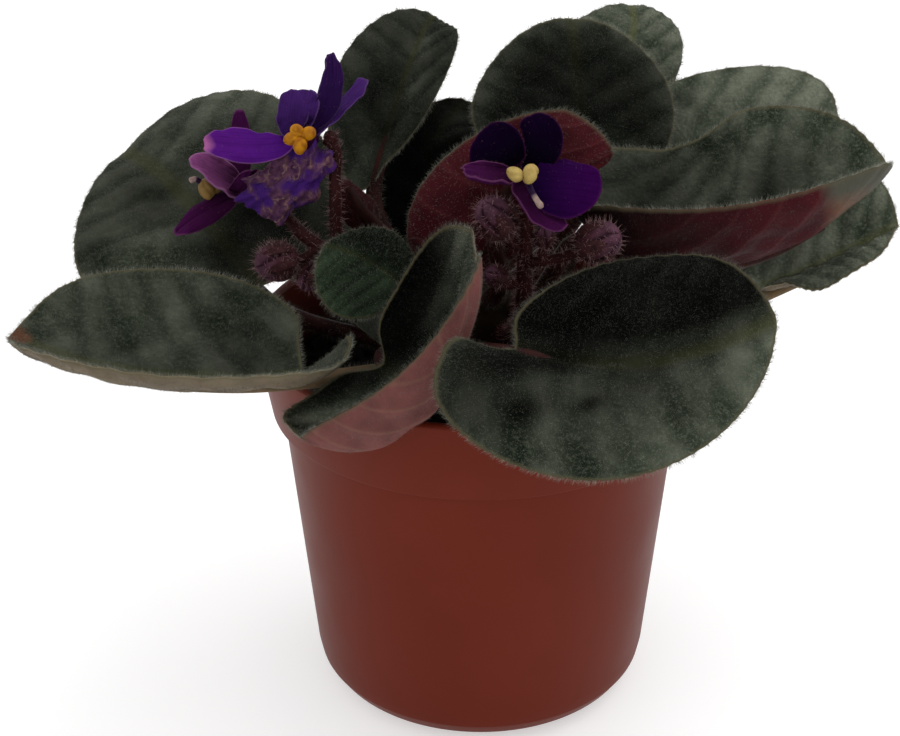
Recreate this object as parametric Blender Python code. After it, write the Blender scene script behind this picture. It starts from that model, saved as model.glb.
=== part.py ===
"""Potted miniature african violet, modelled at rest in metres with +Z up.

The pot stands on the origin. Each leaf is one solid of blade, midrib and petiole; each bloom
has a corolla and its anthers; two flower stalks carry the blooms and the buds.
Positions below are in millimetres and become metres when a mesh is made.
"""

import math

import bpy
import numpy as np

MM = 0.001

# Pot, a lathed thin wall with a collar round the top; it stands on a ring and a middle pad, and
# the drainage holes are in the channel between them
POT_SEGMENTS = 32
POT_HEIGHT = 62.0
RIM_RADIUS = 35.0
COLLAR_HEIGHT = 13.1
COLLAR_LOW_RADIUS = 32.8
BODY_TOP_RADIUS = 31.1
BASE_RADIUS = 27.2
BASE_EDGE_RADIUS = 6.2
WALL = 1.2
BASE_THICKNESS = 1.6
FOOT_HEIGHT = 0.8
FOOT_WIDTH = 5.0
PAD_RADIUS = 5.5
DRAIN_HOLES = 5
DRAIN_HOLE_RADIUS = 2.6
DRAIN_CIRCLE_RADIUS = 11.0

# Soil and the short stem that stands in a plain hole in it
GAP = 0.3
SOIL_TOP = 52.0
SOIL_SEGMENTS = 24
SOIL_BUMP = 0.7
CROWN_CENTRE = (0.5, -2.0)
CROWN_BOTTOM = 40.0
CROWN_TOP = 71.0
CROWN_RADIUS = 4.2
CROWN_FOOT_RADIUS = 3.4
CROWN_SEGMENTS = 14

# Leaf blades, as rings of points from the toothed margin to the middle
LEAF_RINGS = ((1.0, 36), (0.72, 18), (0.36, 9))
SMALL_LEAF_RINGS = ((1.0, 24), (0.6, 12))
LEAF_THICKNESS = 1.2
LEAF_TOOTH = 0.011
LEAF_WIDEST = 0.45
LEAF_SINUS = 0.13
EAR_START = 0.1
EAR_LENGTH = 0.35
EAR_INNER = 0.25
EAR_OUTER = 1.2
FOLD_SINUS = 0.16
FOLD_DEPTH = 0.24
FOLD_LOBE = 0.3
PETIOLE_SIDES = 6
PETIOLE_RADIUS = 1.45
MIDRIB_END_RADIUS = 0.55
MIDRIB_REACH = 0.78
MIDRIB_POINTS = 5
PETIOLE_POINTS = 7

# Petals, with fewer points and no teeth
PETAL_RINGS = ((1.0, 14), (0.5, 7))
PETAL_THICKNESS = 0.7
PETAL_WIDEST = 0.56
THROAT_RADIUS = 1.4
ANTHER_LENGTH = 1.3

# Flower stalks, buds and the sepals round them
STALK_SIDES = 6
BUD_SIDES = 7
SEPALS = 5
SEPAL_RINGS = ((1.0, 6),)
SEPAL_THICKNESS = 0.8

# Each leaf: where the petiole leaves the crown (turn in degrees, height), the five points that
# its blade passes through, how much each half bulges, how far each base lobe reaches back, how
# high each lobe lifts, the waves of its margin (height, number, phase), and how pointed each half
# is from 0.5, blunt, to 1.3, pointed. Pairs go left, right.
LEAVES = {
    "leaf_left_front": dict(
        root=(222, 57), base=(-25.2, -25, 65.6), mid=(-44.0, -30, 67.6), tip=(-65.2, -30, 73.5),
        left=(-36.8, -41, 73.6), right=(-43.6, -13, 75.9), bulge=(-0.08, -0.08), lobes=(0.12, 0.03),
        ears=(20.0, 13.0), wave=(0.5, 3, 0.4), width=(0.75, 0.40),
    ),
    "leaf_left_back": dict(
        root=(171, 56), base=(-34.5, 2, 66.6), mid=(-46.6, 13, 76.9), tip=(-57.8, 24, 80.3),
        left=(-60.1, -1, 67.6), right=(-29.2, 29, 84.7), bulge=(0.05, 0.06), lobes=(0.12, 0.5),
        ears=(0, 0), wave=(0.4, 4, 1.0), width=(1.06, 0.5),
    ),
    "leaf_back_left": dict(
        root=(150, 64), base=(-16.4, 9, 81.6), mid=(-11.5, 20, 95.1), tip=(-7.3, 30, 101.5),
        left=(-22.8, 22, 95.0), right=(-5.1, 22, 95.0), bulge=(0.05, 0.05), lobes=(0.05, -0.05),
        ears=(0, 0), wave=(0.5, 4, 0), width=(1.16, 1.14),
    ),
    "leaf_back_middle": dict(
        root=(120, 60), base=(-8.2, 9, 71.0), mid=(-8.8, 19, 79.8), tip=(-2.3, 31, 87.1),
        left=(-16.6, 17, 77.1), right=(1.1, 22, 79.1), bulge=(0.05, 0.05), lobes=(0.05, 0.1),
        ears=(0, 0), wave=(0.4, 4, 0), width=(0.95, 0.9), small=True,
    ),
    "leaf_back_right": dict(
        root=(50, 66), base=(16.5, 6.5, 82.1), mid=(15.6, 14, 90.3), tip=(14.6, 26, 101.8),
        left=(-1.1, 17, 89.7), right=(30.1, 17, 89.8), bulge=(0.08, 0.08), lobes=(0.10, 0.10),
        ears=(0, 0), wave=(0.6, 4, 0.8), width=(1.30, 1.01),
    ),
    "leaf_back_far": dict(
        root=(68, 57), base=(13.4, 24, 77.7), mid=(22.9, 34, 90.2), tip=(25.7, 47, 97.9),
        left=(10.9, 38, 93.2), right=(32.4, 36, 89.4), bulge=(0.08, 0.08), lobes=(0.10, 0.10),
        ears=(0, 0), wave=(0.5, 4, 0.8), width=(1.09, 0.97),
    ),
    "leaf_young_centre": dict(
        root=(285, 68), base=(3.0, -8, 75.5), mid=(3.0, -10, 85.5), tip=(11.9, -6.5, 98.2),
        left=(17.5, -4, 90.4), right=(-10.6, -5, 78.5), bulge=(-0.12, -0.12), lobes=(0.05, 0.05),
        ears=(0, 0), wave=(0.3, 4, 0), width=(1.24, 1.30),
    ),
    "leaf_right_folded": dict(
        root=(-11, 64), base=(16.6, -6, 79.0), mid=(36.2, -5, 74.3), tip=(61.3, 2, 86.0),
        left=(38.2, 11.5, 90.7), right=(36.6, -12, 85.5), bulge=(-0.08, -0.10), lobes=(0.24, 0.12),
        ears=(0, 0), wave=(0.4, 3, 0.5), width=(0.72, 0.69),
    ),
    "leaf_right_back": dict(
        root=(36, 60), base=(19.8, 11, 74.9), mid=(36.5, 21, 80.3), tip=(58.6, 30, 83.6),
        left=(32.6, 30, 90.8), right=(47.0, 12, 79.0), bulge=(0.05, 0.05), lobes=(0.08, 0.08),
        ears=(0, 0), wave=(0.4, 4, 0.2), width=(0.83, 0.90),
    ),
    "leaf_right_low": dict(
        root=(4, 60), base=(43.8, 4, 65.3), mid=(54.4, 9, 67.5), tip=(65.7, 11, 72.8),
        left=(53.4, 24, 74.8), right=(54.1, -2, 69.3), bulge=(0.05, 0.08), lobes=(0.10, -0.10),
        ears=(0, 0), wave=(0.4, 4, 0.2), width=(1.00, 0.49),
    ),
    "leaf_front_right": dict(
        root=(277, 56), base=(4.7, -39.5, 76.6), mid=(20.8, -38, 73.5), tip=(39.9, -33.5, 77.9),
        left=(21.6, -19.5, 80.7), right=(11.6, -50.5, 63.1), bulge=(0.10, 0.08), lobes=(0.05, 0.19),
        ears=(0, 14), wave=(0.25, 4, 0.3), width=(0.95, 0.8),
    ),
    "leaf_front_cupped": dict(
        root=(243, 61), base=(-0.5, -25, 85.3), mid=(-6.4, -36, 66.9), tip=(-24.5, -35.5, 60.6),
        left=(-5.8, -38, 78.0), right=(-13.8, -27.5, 68.2), bulge=(-0.10, -0.10), lobes=(-0.04, 0.02),
        ears=(0, 0), wave=(0.2, 3, 0.3), width=(1.22, 0.58), folded_across=True,
    ),
    "leaf_small_centre": dict(
        root=(223, 66), base=(-11.1, -16, 75.0), mid=(-15.9, -15, 78.5), tip=(-22.5, -12, 79.7),
        left=(-20.5, -20.5, 72.6), right=(-11.9, -9, 79.8), bulge=(0.05, 0.05), lobes=(0.05, 0.05),
        ears=(0, 0), wave=(0.2, 4, 0), width=(0.75, 1.09), small=True,
    ),
    "leaf_small_back": dict(
        root=(178, 68), base=(-16.1, 1, 76.9), mid=(-18.6, 0, 80.7), tip=(-20.7, 2, 84.3),
        left=(-16.8, 3, 80.3), right=(-21.5, 0, 79.6), bulge=(0, 0), lobes=(0.05, 0.05),
        ears=(0, 0), wave=(0.2, 3, 0), width=(0.9, 0.9), small=True,
    ),
}


def unit(v):
    """Vectors of length one, along the last axis."""
    v = np.asarray(v, float)
    return v / np.maximum(np.linalg.norm(v, axis=-1, keepdims=True), 1e-9)


def turned(vectors, start, ends):
    """The vectors, turned by the smallest turn that takes the start direction to each end."""
    axis = np.cross(start, ends)
    cosine = (ends * start).sum(-1, keepdims=True)
    along = (axis * vectors).sum(-1, keepdims=True)
    return vectors * cosine + np.cross(axis, vectors) + axis * along / (1 + cosine)


def spine(form, a):
    """Points and directions of the midrib at a: 0 at the petiole, 1 at the tip."""
    base, mid, tip = (np.array(form[key], float) for key in ("base", "mid", "tip"))
    m = form["widest"]
    inside = np.maximum(a, 0)[:, None]
    point = (
        base * (inside - m) * (inside - 1) / m
        + mid * inside * (inside - 1) / (m * (m - 1))
        + tip * inside * (inside - m) / (1 - m)
    )
    slope = (
        base * (2 * inside - m - 1) / m
        + mid * (2 * inside - 1) / (m * (m - 1))
        + tip * (2 * inside - m) / (1 - m)
    )
    return point + slope * np.minimum(a, 0)[:, None], unit(slope)


def surface(form, a, c):
    """Points of a blade's upper face: a runs along the midrib, c from the right to the left."""
    point, along = spine(form, a)
    middle, heading = spine(form, np.array([form["widest"]]))
    side_left = np.array(form["left"], float) - middle[0]
    side_right = np.array(form["right"], float) - middle[0]
    on_left = (c > 0)[:, None]
    side = np.where(on_left, side_left, side_right)
    lift = np.where(
        on_left, unit(np.cross(heading[0], side_left)), unit(np.cross(side_right, heading[0]))
    )
    bulge = np.where(c > 0, form["bulge"][0], form["bulge"][1])[:, None]
    reach = np.abs(c)[:, None]
    size = np.linalg.norm(side, axis=1, keepdims=True)
    ear = np.where(c > 0, form["ears"][0], form["ears"][1])[:, None]
    behind = np.maximum(EAR_START - a[:, None], 0) / EAR_LENGTH
    raised = ear * np.tanh(reach / EAR_INNER) * (EAR_OUTER - reach) * behind**2
    offset = side * reach + lift * (size * bulge * 4 * reach * (1 - reach) + raised)
    if form["folded_across"]:
        return point + offset
    return point + turned(offset, heading[0], along)


def outline(form, angle):
    """Where the margin lies at an angle round the blade: 0 at the tip, pi at the petiole."""
    forward, across = np.cos(angle), np.sin(angle)
    m = form["widest"]
    lobe = np.where(across > 0, form["lobes"][0], form["lobes"][1])
    a = m + np.where(forward > 0, 1 - m, m + lobe) * forward
    blunt = np.where(across > 0, form["width"][0], form["width"][1])
    c = np.sign(across) * np.abs(across) ** blunt
    if form["folded_across"]:
        notch = np.exp(-((forward / FOLD_SINUS) ** 2)) * (across < 0)
        return a, c * (1 + FOLD_LOBE * (across < 0)) * (1 - FOLD_DEPTH * notch)
    notch = np.exp(-((across / form["sinus"]) ** 2)) * (forward < 0)
    return a * (1 - notch), c


def surface_normals(form, a, c):
    """Directions square to a blade's upper face."""
    step = 0.01
    along = surface(form, a + step, c) - surface(form, a - step, c)
    across = surface(form, a, c + step) - surface(form, a, c - step)
    return unit(np.cross(along, across))


def blade_points(form, radius, angle, tooth):
    """Points of the upper face and the directions square to it, at polar places on the blade."""
    edge_a, edge_c = outline(form, angle)
    grow = radius * (1 + tooth)
    m = form["widest"]
    a = m + (edge_a - m) * grow
    c = edge_c * grow
    normal = surface_normals(form, a, c)
    height, number, phase = form["wave"]
    ripple = height * radius**3 * np.sin(number * angle + phase)
    return surface(form, a, c) + normal * ripple[:, None], normal


def ring_faces(outer, inner, first, second):
    """Triangles between two rings, where the inner one has as many points or half as many."""
    faces = []
    for j in range(inner):
        k = (j + 1) % inner
        if outer == inner:
            faces.append((first + j, first + k, second + j))
            faces.append((first + k, second + k, second + j))
        else:
            near, between, far = 2 * j, 2 * j + 1, (2 * j + 2) % outer
            faces.append((first + near, first + between, second + j))
            faces.append((first + between, second + k, second + j))
            faces.append((first + between, first + far, second + k))
    return faces


def blade_mesh(name, form, rings, thickness, tooth):
    """A closed thin blade with the same triangles on both faces."""
    tops, bottoms, faces = [], [], []
    starts = []
    count = 0
    for radius, number in rings:
        angle = 2 * math.pi * np.arange(number) / number
        teeth = tooth * np.where(np.arange(number) % 2, -1, 1) * (radius == 1)
        top, normal = blade_points(form, np.full(number, radius), angle, teeth)
        tops.append(top)
        bottoms.append(top - normal * thickness)
        starts.append(count)
        count += number
    top, normal = blade_points(form, np.zeros(1), np.zeros(1), 0)
    tops.append(top)
    bottoms.append(top - normal * thickness)
    for i in range(len(rings) - 1):
        faces += ring_faces(rings[i][1], rings[i + 1][1], starts[i], starts[i + 1])
    last = rings[-1][1]
    for j in range(last):
        faces.append((starts[-1] + j, starts[-1] + (j + 1) % last, count))
    count += 1
    under = [(c + count, b + count, a + count) for a, b, c in faces]
    edge = []
    number = rings[0][1]
    for j in range(number):
        k = (j + 1) % number
        edge.append((k, j, j + count))
        edge.append((k, j + count, k + count))
    points = np.concatenate(tops + bottoms)
    return mesh_object(name, points, faces + under + edge)


def mesh_object(name, points, faces):
    """A new object from points in millimetres."""
    mesh = bpy.data.meshes.new(name)
    mesh.from_pydata([tuple(map(float, p)) for p in np.asarray(points) * MM], [], faces)
    mesh.validate()
    obj = bpy.data.objects.new(name, mesh)
    bpy.context.scene.collection.objects.link(obj)
    return obj


def tube(name, path, radii, sides):
    """A closed round tube along a path, its radius given at each point."""
    path = np.array(path, float)
    along = unit(np.gradient(path, axis=0))
    side = unit(np.cross(along[0], (0.3, 0.2, 1.0)))
    points, faces = [], []
    for i, centre in enumerate(path):
        side = unit(side - along[i] * (side @ along[i]))
        other = np.cross(along[i], side)
        for j in range(sides):
            turn = 2 * math.pi * j / sides
            points.append(centre + radii[i] * (math.cos(turn) * side + math.sin(turn) * other))
    for i in range(len(path) - 1):
        for j in range(sides):
            k = (j + 1) % sides
            a, b = i * sides + j, i * sides + k
            faces.append((a, b, b + sides))
            faces.append((a, b + sides, a + sides))
    faces.append(tuple(reversed(range(sides))))
    faces.append(tuple(range((len(path) - 1) * sides, len(path) * sides)))
    return mesh_object(name, points, faces)


def bend(start, start_way, end, end_way, steps):
    """Points of a smooth curve between two ends that leaves and arrives the given ways."""
    start, end = np.array(start, float), np.array(end, float)
    start_way, end_way = np.array(start_way, float), np.array(end_way, float)
    t = np.linspace(0, 1, steps)[:, None]
    return (
        start * (1 - t) ** 3
        + 3 * (start + start_way) * t * (1 - t) ** 2
        + 3 * (end - end_way) * t**2 * (1 - t)
        + end * t**3
    )


def joined(name, pieces):
    """One solid from overlapping pieces, by one union on a collection."""
    group = bpy.data.collections.new(name + "_pieces")
    bpy.context.scene.collection.children.link(group)
    first = pieces[0]
    for piece in pieces[1:]:
        bpy.context.scene.collection.objects.unlink(piece)
        group.objects.link(piece)
    union = first.modifiers.new("Join", "BOOLEAN")
    union.operation = "UNION"
    union.operand_type = "COLLECTION"
    union.collection = group
    union.solver = "EXACT"
    graph = bpy.context.evaluated_depsgraph_get()
    mesh = bpy.data.meshes.new_from_object(first.evaluated_get(graph))
    first.modifiers.clear()
    first.data = mesh
    first.name = name
    for piece in pieces[1:]:
        bpy.data.objects.remove(piece, do_unlink=True)
    bpy.data.collections.remove(group)
    return first


def material(name, colour, roughness):
    """A plain material of one colour."""
    made = bpy.data.materials.new(name)
    made.use_nodes = True
    shader = made.node_tree.nodes["Principled BSDF"]
    shader.inputs["Base Color"].default_value = (*colour, 1)
    shader.inputs["Roughness"].default_value = roughness
    made.diffuse_color = (*colour, 1)
    return made


def finish(obj, made, smooth=True):
    obj.data.materials.clear()
    obj.data.materials.append(made)
    for polygon in obj.data.polygons:
        polygon.use_smooth = smooth


def crown_point(turn, height, clear):
    """A point beside the crown stem, that far clear of it."""
    angle = math.radians(turn)
    radius = crown_radius(height) + clear
    return np.array(
        (
            CROWN_CENTRE[0] + radius * math.cos(angle),
            CROWN_CENTRE[1] + radius * math.sin(angle),
            height,
        )
    )


def crown_radius(height):
    """The stem is thin in the soil, thick among the petioles and round at the top."""
    if height < SOIL_TOP + 1.5:
        return CROWN_FOOT_RADIUS
    if height > CROWN_TOP - CROWN_RADIUS:
        drop = (height - CROWN_TOP + CROWN_RADIUS) / CROWN_RADIUS
        return CROWN_RADIUS * math.sqrt(max(1 - drop * drop, 0.02))
    return CROWN_RADIUS


def leaf_form(spec):
    """A leaf's values with those that every leaf shares."""
    form = dict(widest=LEAF_WIDEST, sinus=LEAF_SINUS, folded_across=False, small=False)
    form.update(spec)
    return form


def petal_form(base, mid, tip, left, right, bulge=(0.1, 0.1), wave=(0.25, 3, 0), width=0.9):
    """A petal's or a sepal's values, in the same terms as a leaf's."""
    return dict(
        base=base, mid=mid, tip=tip, left=left, right=right, bulge=bulge, wave=wave,
        width=(width, width), lobes=(0, 0), ears=(0, 0), widest=PETAL_WIDEST, sinus=0.01,
        folded_across=False,
    )


# Blooms: each petal is (base, mid, tip, left, right), then what differs from a plain petal.
BLOOMS = {
    "left": dict(
        throat=((-26.6, -4.2, 92.4), (-23.9, -2.9, 92.9)),
        petals=(
            petal_form((-27.0, -4, 92.7), (-33.1, -6, 92.4), (-39.6, -7, 93.6), (-33.9, -8, 90.8),
                       (-35.2, -4, 94.5)),
            petal_form((-27.2, -4, 92.6), (-27.1, -2, 96.1), (-26.7, 0, 99.1), (-29.7, -2, 96.7),
                       (-23.5, -2, 97.5)),
            petal_form((-26.0, -4, 94.1), (-22.3, 0, 97.9), (-22.0, 3, 103.6), (-23.7, -1, 98.7),
                       (-20.3, 1, 98.3)),
            petal_form((-25.9, -3.5, 92.4), (-21.1, 2, 95.6), (-16.7, 6, 98.5), (-22.1, 5, 95.0),
                       (-20.3, 0, 95.2)),
            petal_form((-26.5, -4.5, 92.5), (-28, -6.5, 87), (-32, -5.5, 81.5), (-22.5, -4.5, 86.5),
                       (-34.5, -4.5, 87), wave=(0.9, 7, 0.5), width=0.75),
        ),
        anthers=(
            ((-27.2, -6.6, 94.0), 1.0, (1, 0, 0.3)), ((-26.3, -6.4, 95.0), 0.95, (-0.6, 0, 0.6)),
            ((-24.9, -6.3, 94.6), 1.0, (0.8, 0, 0.5)), ((-26.0, -7.2, 93.1), 1.05, (0.1, 0, 1)),
        ),
        style=None,
    ),
    "side": dict(
        throat=((-37.4, 2.6, 82.4), (-34.6, 1.8, 82.0)),
        petals=(
            petal_form((-37.0, 3, 83.0), (-36.5, 6, 87.0), (-36.5, 9, 93.0), (-38.2, 6, 87.2),
                       (-35.1, 7, 86.5), width=0.55),
            petal_form((-36.2, 2.5, 82.8), (-40.3, 0, 86.6), (-42.9, -2, 89.2), (-39.0, 3, 87.5),
                       (-37.8, -2, 83.8)),
            petal_form((-36.3, 2, 81.7), (-41.1, 0, 79.9), (-46.0, -2, 77.1), (-41.7, 1.5, 80.6),
                       (-40.4, -1.5, 78.6), bulge=(-0.4, -0.4)),
            petal_form((-37, 1.5, 82.2), (-35, -1.5, 84.5), (-33, -2.5, 87.5), (-36.5, -2, 86),
                       (-33, -1, 83.5)),
            petal_form((-36.5, 3, 82.3), (-37, 7, 81.5), (-38, 11, 81.5), (-39.5, 7, 82.5),
                       (-34, 7, 81)),
        ),
        anthers=(((-41.1, 0.3, 83.5), 1.3, (-0.1, 0, 1)), ((-39.9, 1.4, 83.8), 1.15, (0.3, 0, 1))),
        style=((-41.6, 0.3, 84.2), (-42.8, 0.2, 85.2), (-43.6, 0.0, 84.9)),
    ),
    "right": dict(
        throat=((5.6, -16.2, 92.0), (6.4, -13.6, 91.2)),
        petals=(
            petal_form((4.3, -16, 93.3), (3.3, -14.5, 95.6), (1.2, -12.5, 97.9), (-1.3, -15, 93.2),
                       (5.6, -14.5, 97.4), bulge=(0, 0)),
            petal_form((6.0, -16, 92.4), (8.1, -13.5, 96.3), (6.9, -12, 99.1), (5.9, -13.5, 97.7),
                       (11.6, -13.5, 95.9), bulge=(0, 0)),
            petal_form((6.3, -16, 91.7), (11.6, -17, 92.1), (17.0, -17, 91.2), (10.9, -14, 93.7),
                       (11.5, -20, 87.1)),
            petal_form((6.2, -16.0, 92.0), (7.8, -18.5, 88.3), (11.6, -20.5, 85.5), (10.1, -17.5, 88.4),
                       (5.6, -19, 88.7), bulge=(-0.1, -0.2)),
            petal_form((5.9, -16.4, 91.8), (1.3, -20, 93.8), (-2.4, -23, 95.4), (1.5, -22.5, 94.0),
                       (1.5, -18.5, 94.9), bulge=(-0.2, -0.2)),
        ),
        anthers=(((4.8, -19.6, 93.5), 1.0, (1, 0, -0.7)), ((6.9, -19.4, 93.4), 1.15, (0.3, 0, 1))),
        style=((6.6, -18.4, 92.0), (7.5, -20.2, 90.5), (8.6, -21.0, 89.0)),
    ),
}

# Flower stalks: paths from the crown, each with its radii at the two ends, and the buds on them
# as (foot, tip, radius). The last point of a bloom's path is its calyx.
STALKS = {
    "flower_stalk_left": dict(
        root=(196, 63),
        main=((-10, -4.5, 67), (-18, -6, 73), (-23.5, -6, 76.5)),
        branches=(
            ((-21, -6, 75), (-21.4, -5, 79), (-21.4, -4, 86.5), (-21.6, -2.6, 91.5),
             (-22.7, -2.6, 92.6)),
            ((-23, -6, 76), (-26.5, -5, 78.5), (-30, -2, 81.0), (-33.4, 1.5, 81.9)),
        ),
        calyxes=(((-21.9, -2.2, 92.4), (-24.6, -3.2, 92.1)), ((-32.4, 1.3, 81.7), (-35.5, 2.1, 82.1))),
        buds=(
            ((-24, -6.5, 76.5), (-33.2, -9, 74.8), 2.7),
            ((-23.5, -6, 76), (-26.5, -7.5, 70.5), 1.9),
        ),
    ),
    "flower_stalk_right": dict(
        root=(312, 62),
        main=((6, -9.5, 66), (6.5, -12.5, 73), (6.5, -13.5, 79)),
        branches=(((6.5, -13.2, 77), (6.8, -14.2, 84), (6.8, -13.4, 90.2)),),
        calyxes=(((6.8, -12.9, 90.5), (6.1, -15.4, 91.5)),),
        buds=(
            ((5.5, -13.8, 80), (0.6, -16.2, 88), 2.8),
            ((6.5, -13.8, 77.5), (19.8, -17, 83.3), 2.8),
            ((5.5, -13, 74), (0.8, -14.5, 76.5), 1.5),
            ((9.1, -14.5, 78.0), (9.3, -15.0, 83.7), 1.4),
        ),
    ),
}


def petiole_path(form):
    """From beside the crown to the blade's base, then under the midrib."""
    turn, height = form["root"]
    root = crown_point(turn, height, GAP + 0.25)
    out = root - crown_point(turn, height, -1.0)
    places = np.linspace(0, MIDRIB_REACH, MIDRIB_POINTS)
    radii = np.linspace(PETIOLE_RADIUS * 0.8, MIDRIB_END_RADIUS, MIDRIB_POINTS)
    if form["folded_across"]:
        a, c = np.full(MIDRIB_POINTS, form["widest"]), np.linspace(-0.95, 0.1, MIDRIB_POINTS)
    else:
        a, c = places, np.full(MIDRIB_POINTS, 1e-4)
    points = surface(form, a, c)
    normals = surface_normals(form, a, c)
    along = unit(np.gradient(points, axis=0))
    under = points - normals * (LEAF_THICKNESS * 0.55 + radii[:, None] * 0.45)
    span = np.linalg.norm(under[0] - root)
    start_way = unit(out + np.array((0, 0, 0.35))) * span * 0.4
    stem = bend(root, start_way, under[0], along[0] * span * 0.25, PETIOLE_POINTS)
    path = np.concatenate([stem[:-1], under])
    narrowing = np.linspace(PETIOLE_RADIUS, PETIOLE_RADIUS * 0.85, PETIOLE_POINTS - 1)
    widths = np.concatenate([narrowing, radii])
    return path, widths


def make_leaf(name, spec, made):
    form = leaf_form(spec)
    rings = SMALL_LEAF_RINGS if form["small"] else LEAF_RINGS
    blade = blade_mesh(name + "_blade", form, rings, LEAF_THICKNESS, LEAF_TOOTH)
    path, widths = petiole_path(form)
    petiole = tube(name + "_petiole", path, widths, PETIOLE_SIDES)
    finish(joined(name, [blade, petiole]), made)


def pot_profile():
    """The wall's outline, up the outside and down the inside, with the axis left open."""
    edge = []
    for step in range(5):
        turn = math.radians(90 * step / 4)
        edge.append(
            (
                BASE_RADIUS - BASE_EDGE_RADIUS + BASE_EDGE_RADIUS * math.sin(turn),
                BASE_EDGE_RADIUS - BASE_EDGE_RADIUS * math.cos(turn),
            )
        )
    foot = BASE_RADIUS - BASE_EDGE_RADIUS
    ledge = POT_HEIGHT - COLLAR_HEIGHT
    outside = [
        (PAD_RADIUS, 0),
        (PAD_RADIUS + FOOT_HEIGHT, FOOT_HEIGHT),
        (foot - FOOT_WIDTH - FOOT_HEIGHT, FOOT_HEIGHT),
        (foot - FOOT_WIDTH, 0),
    ]
    outside += edge
    outside += [
        (BODY_TOP_RADIUS, ledge - 0.6),
        (BODY_TOP_RADIUS + 0.5, ledge),
        (COLLAR_LOW_RADIUS, ledge),
        (RIM_RADIUS - 0.2, POT_HEIGHT - 1.4),
        (RIM_RADIUS, POT_HEIGHT - 0.5),
        (RIM_RADIUS - 0.4, POT_HEIGHT),
        (RIM_RADIUS - 1.1, POT_HEIGHT),
        (RIM_RADIUS - 0.3 - WALL, POT_HEIGHT - 0.6),
        (COLLAR_LOW_RADIUS - WALL, ledge + 1.6),
        (BODY_TOP_RADIUS - WALL, ledge - 0.6),
    ]
    inside = [
        (BASE_RADIUS + 0.35 - WALL, BASE_EDGE_RADIUS + 1.0),
        (BASE_RADIUS - 1.9 - WALL, 3.2),
        (foot, FOOT_HEIGHT + BASE_THICKNESS),
    ]
    return outside + inside


def make_pot(made):
    profile = pot_profile()
    count = len(profile)
    points, faces = [], []
    for j in range(POT_SEGMENTS):
        turn = 2 * math.pi * j / POT_SEGMENTS
        for radius, height in profile:
            points.append((radius * math.cos(turn), radius * math.sin(turn), height))
    for j in range(POT_SEGMENTS):
        k = (j + 1) % POT_SEGMENTS
        for i in range(count - 1):
            faces.append((j * count + i, k * count + i, k * count + i + 1, j * count + i + 1))
    faces.append(tuple(reversed([j * count for j in range(POT_SEGMENTS)])))
    faces.append(tuple(j * count + count - 1 for j in range(POT_SEGMENTS)))
    pot = mesh_object("pot", points, faces)
    holes = bpy.data.collections.new("drain_cutters")
    bpy.context.scene.collection.children.link(holes)
    for i in range(DRAIN_HOLES):
        turn = 2 * math.pi * (i + 0.5) / DRAIN_HOLES
        x, y = DRAIN_CIRCLE_RADIUS * math.cos(turn), DRAIN_CIRCLE_RADIUS * math.sin(turn)
        cutter = tube(
            f"drain_cutter_{i}", [(x, y, -3), (x, y, 2), (x, y, 6)],
            [DRAIN_HOLE_RADIUS] * 3, 16,
        )
        bpy.context.scene.collection.objects.unlink(cutter)
        holes.objects.link(cutter)
    cut = pot.modifiers.new("Drain holes", "BOOLEAN")
    cut.operation = "DIFFERENCE"
    cut.operand_type = "COLLECTION"
    cut.collection = holes
    cut.solver = "EXACT"
    graph = bpy.context.evaluated_depsgraph_get()
    mesh = bpy.data.meshes.new_from_object(pot.evaluated_get(graph))
    pot.modifiers.clear()
    pot.data = mesh
    for cutter in list(holes.objects):
        bpy.data.objects.remove(cutter, do_unlink=True)
    bpy.data.collections.remove(holes)
    finish(pot, made)


def inner_radius(height):
    """The pot's inner radius at a height, by straight lines between the profile's points."""
    ledge = POT_HEIGHT - COLLAR_HEIGHT
    heights = (FOOT_HEIGHT + BASE_THICKNESS, 3.2, BASE_EDGE_RADIUS + 1.0, ledge - 0.6, ledge + 1.6,
               POT_HEIGHT - 0.6)
    radii = (
        BASE_RADIUS - BASE_EDGE_RADIUS, BASE_RADIUS - 1.9 - WALL, BASE_RADIUS + 0.35 - WALL,
        BODY_TOP_RADIUS - WALL, COLLAR_LOW_RADIUS - WALL, RIM_RADIUS - 0.3 - WALL,
    )
    return float(np.interp(height, heights, radii))


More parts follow.
